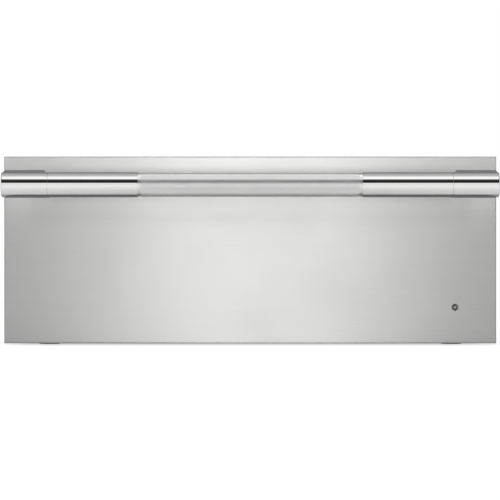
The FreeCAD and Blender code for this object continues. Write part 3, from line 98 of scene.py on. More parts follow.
class Tree:
    """Short calls that add and link nodes in one node tree."""

    def __init__(self, tree: NodeTree) -> None:
        """Keeps the tree that the nodes go into.

        Args:
            tree: a material's, a group's or the world's tree.
        """
        self.tree = tree

    def feed(self, node: Node, feeds: dict) -> Node:
        """Feeds inputs of a node.

        Args:
            node: the node.
            feeds: input name or number to a socket that feeds it, or to its value.

        Returns:
            The node.
        """
        for name, value in feeds.items():
            if isinstance(value, Socket):
                self.tree.links.new(value, node.inputs[name])
            else:
                node.inputs[name].default_value = value
        return node

    def add(self, kind: str, feeds: dict | None = None, **settings: object) -> Node:
        """Adds one node.

        Args:
            kind: the node's type without its ShaderNode prefix.
            feeds: what its inputs get, as feed takes it.
            settings: properties of the node.

        Returns:
            The new node.
        """
        node = self.tree.nodes.new("ShaderNode" + kind)
        for name, value in settings.items():
            setattr(node, name, value)
        return self.feed(node, feeds or {})

    def noise(self, place: Socket, scale: Number, detail: float,
              roughness: float = 0.5, distortion: float = 0.0) -> Socket:
        """Adds a cloudy noise.

        Args:
            place: where it is read.
            scale: its cycles per metre.
            detail: number of finer layers on it.
            roughness: weight of the finer layers.
            distortion: how far it is warped.

        Returns:
            The noise's socket, 0 to 1.
        """
        feeds = {"Vector": place, "Scale": scale, "Detail": detail, "Roughness": roughness,
                 "Distortion": distortion}
        return self.add("TexNoise", feeds).outputs["Fac"]

    def calc(self, operation: str, first: Number, second: Number) -> Socket:
        """Does one step of arithmetic.

        Args:
            operation: the step's name, such as MULTIPLY.
            first: a number or a socket.
            second: a number or a socket.

        Returns:
            The result's socket.
        """
        return self.add("Math", {0: first, 1: second}, operation=operation).outputs[0]

    def weigh(self, first: Socket, second: Socket, part: float) -> Socket:
        """Joins two numbers by weight.

        Args:
            first: the number that counts for the part.
            second: the number that counts for the rest.
            part: the first one's weight.

        Returns:
            The joined number's socket.
        """
        return self.calc("ADD", self.calc("MULTIPLY", first, part),
                         self.calc("MULTIPLY", second, 1.0 - part))

    def remap(self, value: Socket, low: float, high: float,
              start: float = 0.0, end: float = 1.0) -> Socket:
        """Maps start..end to low..high, clamped.

        Args:
            value: the number that is mapped.
            low: result at start.
            high: result at end.
            start: where the range begins.
            end: where the range ends.

        Returns:
            The mapped number's socket.
        """
        return self.add("MapRange", {0: value, 1: start, 2: end, 3: low, 4: high}).outputs[0]

    def blend(self, mask: Socket, first: Shade, second: Shade) -> Socket:
        """Mixes two colours by a mask.

        Args:
            mask: 0 shows the first colour and 1 the second.
            first: a colour or a socket.
            second: a colour or a socket.

        Returns:
            The mixed colour's socket.
        """
        ends = [(*end, 1.0) if isinstance(end, tuple) else end for end in (first, second)]
        return self.add("Mix", {0: mask, 6: ends[0], 7: ends[1]}, data_type="RGBA").outputs[2]


@dataclass(frozen=True)
class Effect:
    """A shared shader effect, built once as a node group and placed in many materials.

    Its fill takes the group's tree, the place on the piece and the pattern's cycles per metre,
    adds the effect's own nodes, and gives the socket for each output.
    """

    fill: Callable[[Tree, Socket, Socket], Sockets]
    kind: str = "Float"

    def put(self, tree: Tree, scale: float | Point) -> bpy.types.bpy_prop_collection:
        """Puts the effect in a material, and makes its group the first time.

        Args:
            tree: the material's tree.
            scale: the pattern's cycles per metre, for all axes or for each.

        Returns:
            The effect's outputs, by name.
        """
        group = bpy.data.node_groups.get(self.fill.__name__) or self.make()
        return tree.add("Group", {"Scale": scale}, node_tree=group).outputs

    def make(self) -> NodeTree:
        """Makes the effect's group.

        Returns:
            The group's node tree.
        """
        group = bpy.data.node_groups.new(self.fill.__name__, "ShaderNodeTree")
        tree = Tree(group)
        group.interface.new_socket(name="Scale", in_out="INPUT",
                                   socket_type="NodeSocket" + self.kind)
        given = self.fill(tree, tree.add("TexCoord").outputs["Object"],
                          group.nodes.new("NodeGroupInput").outputs["Scale"])
        for name in given:
            group.interface.new_socket(name=name, in_out="OUTPUT", socket_type="NodeSocketFloat")
        tree.feed(group.nodes.new("NodeGroupOutput"), given)
        return group


def brushed_grain(tree: Tree, place: Socket, scale: Socket) -> Sockets:
    """Brushed or rolled lines: fine streaks with broader bands among them."""
    lines = tree.add("Mapping", {"Vector": place, "Scale": scale}).outputs[0]
    fine = tree.noise(lines, 1.0, 3.0, 0.65)
    both = tree.weigh(fine, tree.noise(lines, 0.11, 2.0), 0.7)
    tone = tree.remap(both, 0.0, 1.0, 0.3, 0.7)
    return {"Tone": tone, "Gloss": tone, "Height": fine}


def handled_smudge(tree: Tree, place: Socket, scale: Socket) -> Sockets:
    """Faint uneven cloudiness of handled or wiped metal, with small spots in it."""
    cloud = tree.noise(place, scale, 4.0, 0.55, 0.5)
    spots = tree.noise(place, tree.calc("MULTIPLY", scale, 14.0), 2.0, 0.6)
    return {"Mask": tree.calc("MULTIPLY", tree.remap(cloud, 0.0, 1.0, 0.42, 0.72),
                              tree.remap(spots, 0.55, 1.0, 0.35, 0.65))}


def zinc_spangle(tree: Tree, place: Socket, scale: Socket) -> Sockets:
    """Crystal flakes of galvanised sheet, of one tone each, with feathered lines inside them."""
    bent = tree.add("TexNoise", {"Vector": place, "Scale": 60.0, "Detail": 2.0})
    shift = tree.add("VectorMath", {0: bent.outputs["Color"], 1: (0.006, 0.006, 0.006)},
                     operation="MULTIPLY").outputs[0]
    moved = tree.add("VectorMath", {0: place, 1: shift}, operation="ADD").outputs[0]
    flakes = tree.add("TexVoronoi", {"Vector": moved, "Scale": scale, "Randomness": 1.0})
    flake = tree.add("SeparateColor", {0: flakes.outputs["Color"]}).outputs[0]
    frost = tree.noise(moved, tree.calc("MULTIPLY", scale, 7.0), 3.0)
    tone = tree.weigh(flake, frost, 0.75)
    return {"Tone": tone, "Gloss": tone, "Height": flake}


def moulded_texture(tree: Tree, place: Socket, scale: Socket) -> Sockets:
    """Fine spark-eroded texture of a moulded part, with faint flow marks."""
    flow = tree.noise(place, 22.0, 3.0, distortion=1.2)
    speckle = tree.noise(place, scale, 2.0, 0.7)
    return {"Tone": tree.remap(flow, 0.0, 1.0, 0.3, 0.7), "Gloss": speckle, "Height": speckle}


def wool_fibre(tree: Tree, place: Socket, scale: Socket) -> Sockets:
    """Matted mineral fibres: warped streaks and tufts."""
    streaks = tree.add("TexWave", {"Vector": place, "Scale": scale, "Distortion": 18.0,
                                   "Detail": 4.0, "Detail Scale": 2.2}).outputs["Fac"]
    both = tree.weigh(tree.noise(place, 70.0, 5.0, 0.7, 2.5), streaks, 0.6)
    return {"Tone": tree.remap(both, 0.0, 1.0, 0.3, 0.7), "Gloss": both, "Height": both}


GRAIN = Effect(brushed_grain, "Vector")
SMUDGE = Effect(handled_smudge)
SPANGLE = Effect(zinc_spangle)
MOULDED = Effect(moulded_texture)
FIBRE = Effect(wool_fibre)


@dataclass(frozen=True)
class Finish:
    """One finish: a pattern in tone, gloss and bump, with smudges on it.

    Shades and gloss are factors on the colour and the roughness at both ends of the pattern.
    """

    slot: str
    colour: Colour
    roughness: float
    effect: Effect | None = None
    cycles: float = 1.0
    shades: Span = (1.0, 1.0)
    gloss: Span = (1.0, 1.0)
    bump: float = 0.0
    depth: float = 0.0
    smudge_scale: float = 7.0
    stain: float = 0.0
    dulling: float = 0.0
    worn: float = 1.0
    metallic: float = 0.0
    more: tuple[tuple[str, float], ...] = ()

    def build(self) -> Material:
        """Makes the finish's material, with one Principled shader.

        Returns:
            The material.
        """
        material = bpy.data.materials.new("finish_" + self.slot)
        material.use_nodes = True
        material.diffuse_color = (*self.colour, 1.0)
        tree = Tree(material.node_tree)
        tree.feed(material.node_tree.nodes["Principled BSDF"], self.dress(tree))
        return material

    def dress(self, tree: Tree) -> dict:
        """Adds the pattern and the smudges.

        Args:
            tree: the material's tree.

        Returns:
            What the shader's inputs get, as Tree.feed takes it.
        """
        looks = {"Metallic": self.metallic, **dict(self.more)}
        tone, rough = self.colour, self.roughness
        if self.effect:
            pattern = self.effect.put(tree, self.scale())
            tone = tree.blend(pattern["Tone"], *(self.shade(part) for part in self.shades))
            rough = tree.remap(pattern["Gloss"], *(self.roughness * part for part in self.gloss))
            if self.bump:
                feeds = {"Height": pattern["Height"], "Strength": self.bump, "Distance": self.depth}
                looks["Normal"] = tree.add("Bump", feeds).outputs["Normal"]
        mask = SMUDGE.put(tree, self.smudge_scale)["Mask"]
        looks["Base Color"] = tree.blend(tree.calc("MULTIPLY", mask, self.stain), tone,
                                         self.shade(self.worn))
        looks["Roughness"] = tree.calc("ADD", rough, tree.calc("MULTIPLY", mask, self.dulling))
        return looks

    def scale(self) -> float | Point:
        """Gives the pattern's cycles per metre.

        Returns:
            One number for all axes, or one for each.
        """
        return self.cycles

    def shade(self, part: float) -> Colour:
        """Makes the finish's colour darker or lighter.

        Args:
            part: factor on each channel.

        Returns:
            The colour, with no channel above 1.
        """
        return tuple(min(1.0, channel * part) for channel in self.colour)


@dataclass(frozen=True)
class BrushedSheet(Finish):
    """Stainless sheet with grain in one direction, with painted shade: a darker colour where
    another piece reflects it.
    """

    effect: Effect | None = GRAIN
    cycles: float = 900.0
    shades: Span = (0.94, 1.06)
    gloss: Span = (0.92, 1.08)
    bump: float = 1.0
    depth: float = 0.000012
    stain: float = 0.05
    dulling: float = 0.05
    worn: float = 0.7
    metallic: float = 1.0
    grain: Grain = Grain.ALONG_X
    along: float = 6.0
    smear: float = 0.9
    smear_turn: float = 0.25
    # painted shade: factor on the colour that reflections of the sheet show
    mirrored: float = 0.38

    def scale(self) -> Point:
        """Gives the grain's cycles per metre on each axis."""
        return self.grain.stretch(self.along, self.cycles)

    def dress(self, tree: Tree) -> dict:
        """Adds the grain's direction and the painted shade that reflections of the sheet show."""
        looks = super().dress(tree)
        # painted shade: glossy rays see the sheet darker than the camera does
        looks["Base Color"] = tree.blend(tree.add("LightPath").outputs["Is Glossy Ray"],
                                         looks["Base Color"], self.shade(self.mirrored))
        looks["Tangent"] = tree.add("CombineXYZ", dict(zip("XYZ", self.grain.value))).outputs[0]
        looks["Anisotropic"] = self.smear
        looks["Anisotropic Rotation"] = self.smear_turn
        return looks


@dataclass(frozen=True)
class PolishedSteel(Finish):
    """Polished steel with the faintest haze and smudges."""

    smudge_scale: float = 16.0
    stain: float = 0.35
    dulling: float = 0.03
    worn: float = 0.93
    metallic: float = 1.0


@dataclass(frozen=True)
class PlatedSteel(Finish):
    """Zinc-plated or hot-dip galvanised steel with crystal flakes."""

    effect: Effect | None = SPANGLE
    cycles: float = 120.0
    shades: Span = (0.85, 1.15)
    gloss: Span = (0.85, 1.2)
    bump: float = 0.25
    depth: float = 0.0001
    smudge_scale: float = 5.0
    stain: float = 0.25
    worn: float = 0.75
    metallic: float = 0.9


@dataclass(frozen=True)
class Moulding(Finish):
    """Moulded plastic or rubber, matt or gloss."""

    effect: Effect | None = MOULDED
    cycles: float = 1800.0
    shades: Span = (0.82, 1.18)
    gloss: Span = (0.9, 1.1)
    bump: float = 0.5
    depth: float = 0.00003
    smudge_scale: float = 20.0
    dulling: float = 0.08


FINISHES: tuple[Finish, ...] = (
    BrushedSheet("stainless_brushed", (0.45, 0.45, 0.447), 0.34, shades=(0.97, 1.03),
                 gloss=(0.96, 1.04), stain=0.02, dulling=0.02),
    PolishedSteel("stainless_polished", (0.86, 0.86, 0.855), 0.035),
    PolishedSteel("grip_knurl", (0.85, 0.85, 0.845), 0.3, dulling=0.08),
    BrushedSheet("stainless_inner", (0.60, 0.60, 0.59), 0.3, cycles=500.0, stain=0.12,
                 dulling=0.12, grain=Grain.ALONG_Y, along=9.0, smear=0.5),
    PlatedSteel("galvanised", (0.56, 0.57, 0.585), 0.42),
    PlatedSteel("zinc_steel", (0.60, 0.60, 0.585), 0.3, cycles=900.0, shades=(0.94, 1.06),
                metallic=1.0),
    PolishedSteel("ball_steel", (0.72, 0.72, 0.73), 0.06),
    Moulding("black_plastic", (0.028, 0.028, 0.029), 0.45),
    Moulding("gloss_black", (0.012, 0.012, 0.013), 0.16, cycles=700.0, depth=0.000008,
             more=(("Coat Weight", 0.8), ("Coat Roughness", 0.05))),
    Finish("clear_lens", (0.74, 0.75, 0.74), 0.08, MOULDED, 900.0, (0.94, 1.0), (1.0, 1.6),
           more=(("Transmission Weight", 0.25), ("IOR", 1.49))),
    Moulding("silicone", (0.11, 0.11, 0.112), 0.6, cycles=1100.0),
    Finish("mineral_wool", (0.62, 0.57, 0.44), 0.9, FIBRE, 90.0, (0.62, 1.1),
           (1.0, 10.0 / 9.0), bump=0.9, depth=0.0012),
    PlatedSteel("element_sheath", (0.16, 0.15, 0.145), 0.55, cycles=700.0, shades=(0.7, 1.3),
                metallic=0.7),
    BrushedSheet("probe_steel", (0.58, 0.58, 0.575), 0.28, along=40.0, smear=0.3),
    Moulding("circuit_board", (0.03, 0.13, 0.06), 0.38, cycles=2400.0,
             more=(("Coat Weight", 0.3), ("Coat Roughness", 0.05))),
    Moulding("terminal_plastic", (0.66, 0.62, 0.5), 0.4, cycles=1300.0),
    Moulding("white_marking", (0.82, 0.82, 0.8), 0.5, cycles=1500.0),
)


class Paintbox:
    """Builds each finish once and gives it to pieces by slot."""

    def __init__(self, finishes: Iterable[Finish]) -> None:
        """Builds every finish.

        Args:
            finishes: the finishes, one for each slot.
        """
        self.materials = {finish.slot: finish.build() for finish in finishes}

    def paint(self, piece: Object, slot: str) -> None:
        """Gives a piece the finish of a slot.

        Args:
            piece: a new piece or a CAD node's object.
            slot: the record's material slot.
        """
        piece.data.materials.clear()
        piece.data.materials.append(self.materials[slot])

    def paint_nodes(self) -> None:
        """Gives every CAD node the finish of its own slot."""
        for part in frame["record"]["subparts"]:
            self.paint(frame["nodes"][part["node"]], part["material_slot"])


@dataclass(frozen=True)
class Softbox:
    """One soft rectangular lamp."""

    name: str
    place: Point
    aim: Point
    width: float
    height: float
    watts: float
    mirrored: bool = True
    kept_off: tuple[str, ...] = ()
    meant_for: tuple[str, ...] = ()
    let_past: tuple[str, ...] = ()

    def hang(self) -> None:
        """Makes the lamp, aims it and keeps it off the pieces that it must not reach."""
        data = bpy.data.lights.new(self.name, "AREA")
        data.shape = "RECTANGLE"
        data.size = self.width
        data.size_y = self.height
        data.energy = self.watts
        lamp = bpy.data.objects.new(self.name, data)
        bpy.context.scene.collection.objects.link(lamp)
        way = Vector(self.aim) - Vector(self.place)
        lamp.location = self.place
        lamp.rotation_euler = way.to_track_quat("-Z", "Y").to_euler()
        lamp.visible_camera = False
        lamp.visible_glossy = self.mirrored
        lit = self.gather(self.kept_off, "EXCLUDE") or self.gather(self.meant_for, "INCLUDE")
        lamp.light_linking.receiver_collection = lit
        lamp.light_linking.blocker_collection = self.gather(self.let_past, "EXCLUDE")

    def gather(self, names: tuple[str, ...], state: str) -> Collection | None:
        """Collects pieces that the lamp takes notice of, or none of.

        Args:
            names: the pieces' names.
            state: INCLUDE or EXCLUDE.

        Returns:
            The collection, or nothing where there are no such pieces.
        """
        if not names:
            return None
        pieces = bpy.data.collections.new(self.name + "_pieces")
        for name in names:
            pieces.objects.link(bpy.data.objects[name])
        for entry in pieces.collection_objects:
            entry.light_linking.link_state = state
        return pieces


HANDLE_PIECES = ("knurled_grip", "polished_sleeve_left", "polished_sleeve_right",
                 "end_bracket_left", "end_bracket_right")
SOFTBOXES: tuple[Softbox, ...] = (
    Softbox("front_softbox", (0.0, -4.75, -0.3), (0.0, -0.3, 0.1), 0.9, 1.5, 19.2,
            kept_off=HANDLE_PIECES, let_past=("studio_floor", *HANDLE_PIECES)),
    Softbox("strip_softbox", (0.0, -0.46, 0.35), (0.0, -0.275, 0.285), 1.0, 0.04, 0.38,
            meant_for=("front_sheet",), let_past=HANDLE_PIECES),
    Softbox("grip_softbox", (0.0, 0.35, 2.6), (0.0, -0.32, 0.25), 1.4, 1.3, 5.5,
            meant_for=("knurled_grip",)),
    Softbox("top_softbox", (-0.5, -0.9, 2.6), (0.0, -0.1, 0.1), 1.6, 1.2, 6.0, mirrored=False),
)


@dataclass(frozen=True)
class Studio:
    """White room, pale floor, lamps and camera."""

    distance: float = 4.515
    eye_side: float = -0.0004
    eye_height: float = 0.1465
    lens: float = 198.7
    sensor: float = 36.0
    sight: float = 100.0
    floor_size: float = 60.0
    floor_tone: float = 0.8
    floor_swing: float = 0.02
    floor_cloud: float = 1.3
    floor_roughness: float = 0.9
    floor_shine: float = 0.1
    seen_lift: float = 0.68
    # painted light that the floor shows only in reflections, dimmer near the drawer as painted
    # shade: glow near and far, the distances from the middle where it rises, and the depths over
    # which it fades out towards the drawer's front
    painted_reflected_glow: Span = (0.20, 0.51)
    painted_glow_reach: Span = (0.36, 0.95)
    painted_glow_front: Span = (-0.30, -0.27)
    # height of the direction above the horizon as its sine, and the room's brightness there
    room: tuple[Span, ...] = (
        (-1.0, 0.42), (-0.5, 0.72), (-0.1, 0.80), (0.26, 0.90), (0.30, 0.02), (0.68, 0.02),
        (0.77, 0.45), (0.86, 1.25), (1.0, 1.35),
    )
    # direction's share towards the back, and the room's brightness there
    behind: tuple[Span, Span] = ((0.35, 0.49), (0.75, 0.24))
    # the same share where the front of the room begins to pass into its back, and where it has
    turn_to_back: Span = (-0.5, 0.1)

    def build(self) -> None:
        """Builds the room, the floor, the lamps and the camera."""
        self.paint_room()
        self.lay_floor()
        for softbox in SOFTBOXES:
            softbox.hang()
        self.place_camera()
        LOG.info("studio with %d lamps", len(SOFTBOXES))

    def paint_room(self) -> None:
        """Makes the world: white to the camera, and a room with a dark gap in reflections."""
        world = bpy.data.worlds.new("studio_room")
        bpy.context.scene.world = world
        world.use_nodes = True
        world.node_tree.nodes.clear()
        tree = Tree(world.node_tree)
        way = tree.add("TexCoord").outputs["Generated"]
        parts = tree.add("SeparateXYZ", {0: way}).outputs
        ramp = tree.add("ValToRGB", {0: tree.remap(parts["Z"], 0.0, 1.0, -1.0, 1.0)})
        stops = ramp.color_ramp.elements
        while len(stops) < len(self.room):
            stops.new(0.5)
        brightest = max(level for _, level in self.room)
        for stop, (sine, level) in zip(stops, self.room):
            stop.position = (sine + 1.0) / 2.0
            stop.color = (*(level / brightest,) * 3, 1.0)
        front = tree.remap(parts["Y"], 1.0, 0.0, *self.turn_to_back)
        (near_share, near_level), (far_share, far_level) = self.behind
        back_level = tree.remap(parts["Y"], near_level / brightest, far_level / brightest,
                                near_share, far_share)
        shade = tree.blend(front, back_level, ramp.outputs["Color"])
        seen = tree.blend(tree.add("LightPath").outputs["Is Camera Ray"], shade,
                          (1.0 / brightest,) * 3)
        back = tree.add("Background", {"Color": seen, "Strength": brightest})
        tree.add("OutputWorld", {0: back.outputs[0]})

    def lay_floor(self) -> None:
        """Lays a pale matt floor that is white to the camera where no shadow falls, and glows with
        painted light in reflections, less near the drawer.
        """
        bpy.ops.mesh.primitive_plane_add(size=self.floor_size, location=(0.0, 0.0, 0.0))
        floor = bpy.context.object
        floor.name = "studio_floor"
        material = bpy.data.materials.new("floor_paint")
        material.use_nodes = True
        nodes = material.node_tree.nodes
        tree = Tree(material.node_tree)
        place = tree.add("TexCoord").outputs["Object"]
        cloud = tree.noise(place, self.floor_cloud, 2.0)
        paint = tree.feed(nodes["Principled BSDF"], {
            "Base Color": tree.blend(cloud, (self.floor_tone,) * 3,
                                     (self.floor_tone + self.floor_swing,) * 3),
            "Roughness": self.floor_roughness,
            "Specular IOR Level": self.floor_shine,
        })
        rays = tree.add("LightPath").outputs
        # painted light: glossy rays see the floor glow, with painted shade, weaker near the drawer
        # and gone from its front line backwards
        away = tree.add("VectorMath", {0: place}, operation="LENGTH").outputs["Value"]
        depth = tree.add("SeparateXYZ", {0: place}).outputs["Y"]
        mirrored = tree.calc("MULTIPLY", tree.remap(depth, 1.0, 0.0, *self.painted_glow_front),
                             tree.remap(away, *self.painted_reflected_glow, *self.painted_glow_reach))
        # even white to the camera, and the painted glow in reflections
        lift = tree.calc("ADD", tree.calc("MULTIPLY", rays["Is Camera Ray"], self.seen_lift),
                         tree.calc("MULTIPLY", rays["Is Glossy Ray"], mirrored))
        glow = tree.add("Emission", {"Color": (1.0, 1.0, 1.0, 1.0), "Strength": lift})
        both = tree.add("AddShader", {0: paint.outputs[0], 1: glow.outputs[0]})
        tree.feed(nodes["Material Output"], {0: both.outputs[0]})
        floor.data.materials.append(material)

    def place_camera(self) -> None:
        """Stands the camera square in front of the drawer."""
        data = bpy.data.cameras.new("studio_camera")
        data.lens = self.lens
        data.sensor_width = self.sensor
        data.clip_end = self.sight
        camera = bpy.data.objects.new("studio_camera", data)
        bpy.context.scene.collection.objects.link(camera)
        camera.location = (self.eye_side, -self.distance, self.eye_height)
        camera.rotation_euler = TURNED_TO_Y
        bpy.context.scene.camera = camera


class Pick(Enum):
    """Kind of element that an edit-mode step works on."""

    VERTICES = (True, False, False)
    EDGES = (False, True, False)
    FACES = (False, False, True)


class Piece:
    """A new piece on the bench, shaped by Blender's own modelling operators."""

    def __init__(self, thing: Object) -> None:
        """Takes a mesh object as the piece.

        Args:
            thing: the object.
        """
        self.object = thing

    @classmethod
    def start(cls, kind: str, **settings: object) -> "Piece":
        """Adds the primitive that a piece starts from.

        Args:
            kind: the primitive's name, such as cylinder.
            settings: its size, place and turn.

        Returns:
            The piece.
        """
        cls.clear_bench()
        getattr(bpy.ops.mesh, f"primitive_{kind}_add")(**settings)
        return cls(bpy.context.object).close()

    @staticmethod
    def clear_bench() -> None:
        """Goes to object mode with nothing selected."""
        if bpy.context.mode != "OBJECT":
            bpy.ops.object.mode_set(mode="OBJECT")
        bpy.ops.object.select_all(action="DESELECT")

    def take(self) -> None:
        """Goes to object mode with this piece alone selected."""
        self.clear_bench()
        self.object.select_set(True)
        bpy.context.view_layer.objects.active = self.object

    def pick(self, pick: Pick = Pick.FACES, test: Test = lambda at, way: True) -> "Piece":
        """Selects elements by their place and direction, and stays in edit mode.

        Args:
            pick: vertices, edges or faces.
            test: takes an element's middle, and its normal or an edge's direction.

        Returns:
            The piece itself.
        """
        self.take()
        mesh = self.object.data
        place = self.object.matrix_world
        turn = place.to_3x3()
        for elements in (mesh.vertices, mesh.edges, mesh.polygons):
            elements.foreach_set("select", [False] * len(elements))
        if pick is Pick.FACES:
            for face in mesh.polygons:
                face.select = test(place @ face.center, (turn @ face.normal).normalized())
        elif pick is Pick.EDGES:
            for edge in mesh.edges:
                first, second = (place @ mesh.vertices[index].co for index in edge.vertices)
                edge.select = test((first + second) / 2.0, (second - first).normalized())
        else:
            for vertex in mesh.vertices:
                vertex.select = test(place @ vertex.co, (turn @ vertex.normal).normalized())
        bpy.context.scene.tool_settings.mesh_select_mode = pick.value
        bpy.ops.object.mode_set(mode="EDIT")
        return self

    def do(self, operator: str, **settings: object) -> "Piece":
        """Runs one modelling operator on what is selected.

        Args:
            operator: its name under bpy.ops.mesh, or with a dot its full name.
            settings: the operator's own settings.

        Returns:
            The piece itself.
        """
        family, name = operator.split(".") if "." in operator else ("mesh", operator)
        getattr(getattr(bpy.ops, family), name)(**settings)
        return self

    def extrude(self, x: float = 0.0, y: float = 0.0, z: float = 0.0) -> None:
        """Draws out what is selected.

        Args:
            x: way along X.
            y: way along Y.
            z: way along Z.
        """
        self.do("extrude_region_move", TRANSFORM_OT_translate={"value": (x, y, z)})

    def bevel(self, test: Test, rounding: Rounding, **settings: object) -> None:
        """Rounds edges.

        Args:
            test: takes an edge's middle and direction.
            rounding: its width and steps.
            settings: the operator's other settings.
        """
        self.pick(Pick.EDGES, test)
        self.do("bevel", offset=rounding[0], segments=rounding[1], **settings)

    def close(self) -> "Piece":
        """Goes back to object mode and puts the piece's place into its mesh.

        Returns:
            The piece itself.
        """
        self.take()
        bpy.ops.object.transform_apply(location=True, rotation=True, scale=True)
        return self

    def modify(self, kind: str, **settings: object) -> None:
        """Adds a modifier and applies it at once.

        Args:
            kind: the modifier's type.
            settings: its settings.
        """
        self.close()
        modifier = self.object.modifiers.new(kind.lower(), kind)
        for name, value in settings.items():
            setattr(modifier, name, value)
        bpy.ops.object.modifier_apply(modifier=modifier.name)

    def cut(self, cutter: "Piece", operation: str = "DIFFERENCE") -> None:
        """Takes a cutter's space out of the piece, or adds it, and removes the cutter.

        Args:
            cutter: the piece that gives the space.
            operation: DIFFERENCE or UNION.
        """
        cutter.close()
        self.modify("BOOLEAN", object=cutter.object, operation=operation, solver="EXACT")
        bpy.data.objects.remove(cutter.object)

    def copy_to(self, places: Iterable[Point]) -> "Piece":
        """Makes one piece of a copy at each place, and removes the pattern.

        Args:
            places: where the pattern's own origin goes.

        Returns:
            The joined piece.
        """
        self.close()
        copies = []
        for place in places:
            twin = self.object.copy()
            twin.data = self.object.data.copy()
            twin.location = place
            bpy.context.scene.collection.objects.link(twin)
            copies.append(Piece(twin).close())
        bpy.data.objects.remove(self.object)
        copies[0].take()
        for twin in copies[1:]:
            twin.object.select_set(True)
        bpy.ops.object.join()
        return copies[0]

    def smooth(self, angle: float) -> "Piece":
        """Smooths the shading.

        Args:
            angle: edges sharper than this in degrees stay crisp.

        Returns:
            The piece itself.
        """
        self.close()
        bpy.ops.object.shade_smooth_by_angle(angle=math.radians(angle))
        return self

    def tidy(self, angle: float) -> "Piece":
        """Merges doubles, turns the faces outwards and smooths the shading.

        Args:
            angle: edges sharper than this in degrees stay crisp.

        Returns:
            The piece itself.
        """
        self.pick().do("remove_doubles", threshold=MERGED)
        return self.do("normals_make_consistent", inside=False).smooth(angle)

    def flatten_shading(self) -> None:
        """Keeps large faces' shading flat or true up to their rounded edges."""
        self.modify("WEIGHTED_NORMAL", keep_sharp=True, weight=100)

    def finish(self, name: str, body: str, slot: str, paints: Paintbox, *nodes: str) -> None:
        """Names and paints the piece, and lets it ride on its body.

        Args:
            name: the piece's name.
            body: the body that it moves with.
            slot: the finish's slot.
            paints: the finishes.
            nodes: the CAD nodes that it stands for.
        """
        self.close()
        self.object.name = name
        self.object.data.name = name
        paints.paint(self.object, slot)
        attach(self.object, body)
        if nodes:
            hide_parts(*nodes)
        LOG.info("%s: %d faces", name, len(self.object.data.polygons))


def near(value: float, other: float, slack: float = 5.0 * HAIR) -> bool:
    """Tells whether two lengths are the same.

    Args:
        value: a length in metres.
        other: another one.
        slack: how far they may be apart.

    Returns:
        Whether they are.
    """
    return abs(value - other) < slack


@dataclass
class Assembly:
    """What every sub-assembly has: the finishes that it is dressed in."""

    paints: Paintbox

    def build(self) -> None:
        """Builds and dresses the sub-assembly's pieces."""
        raise NotImplementedError


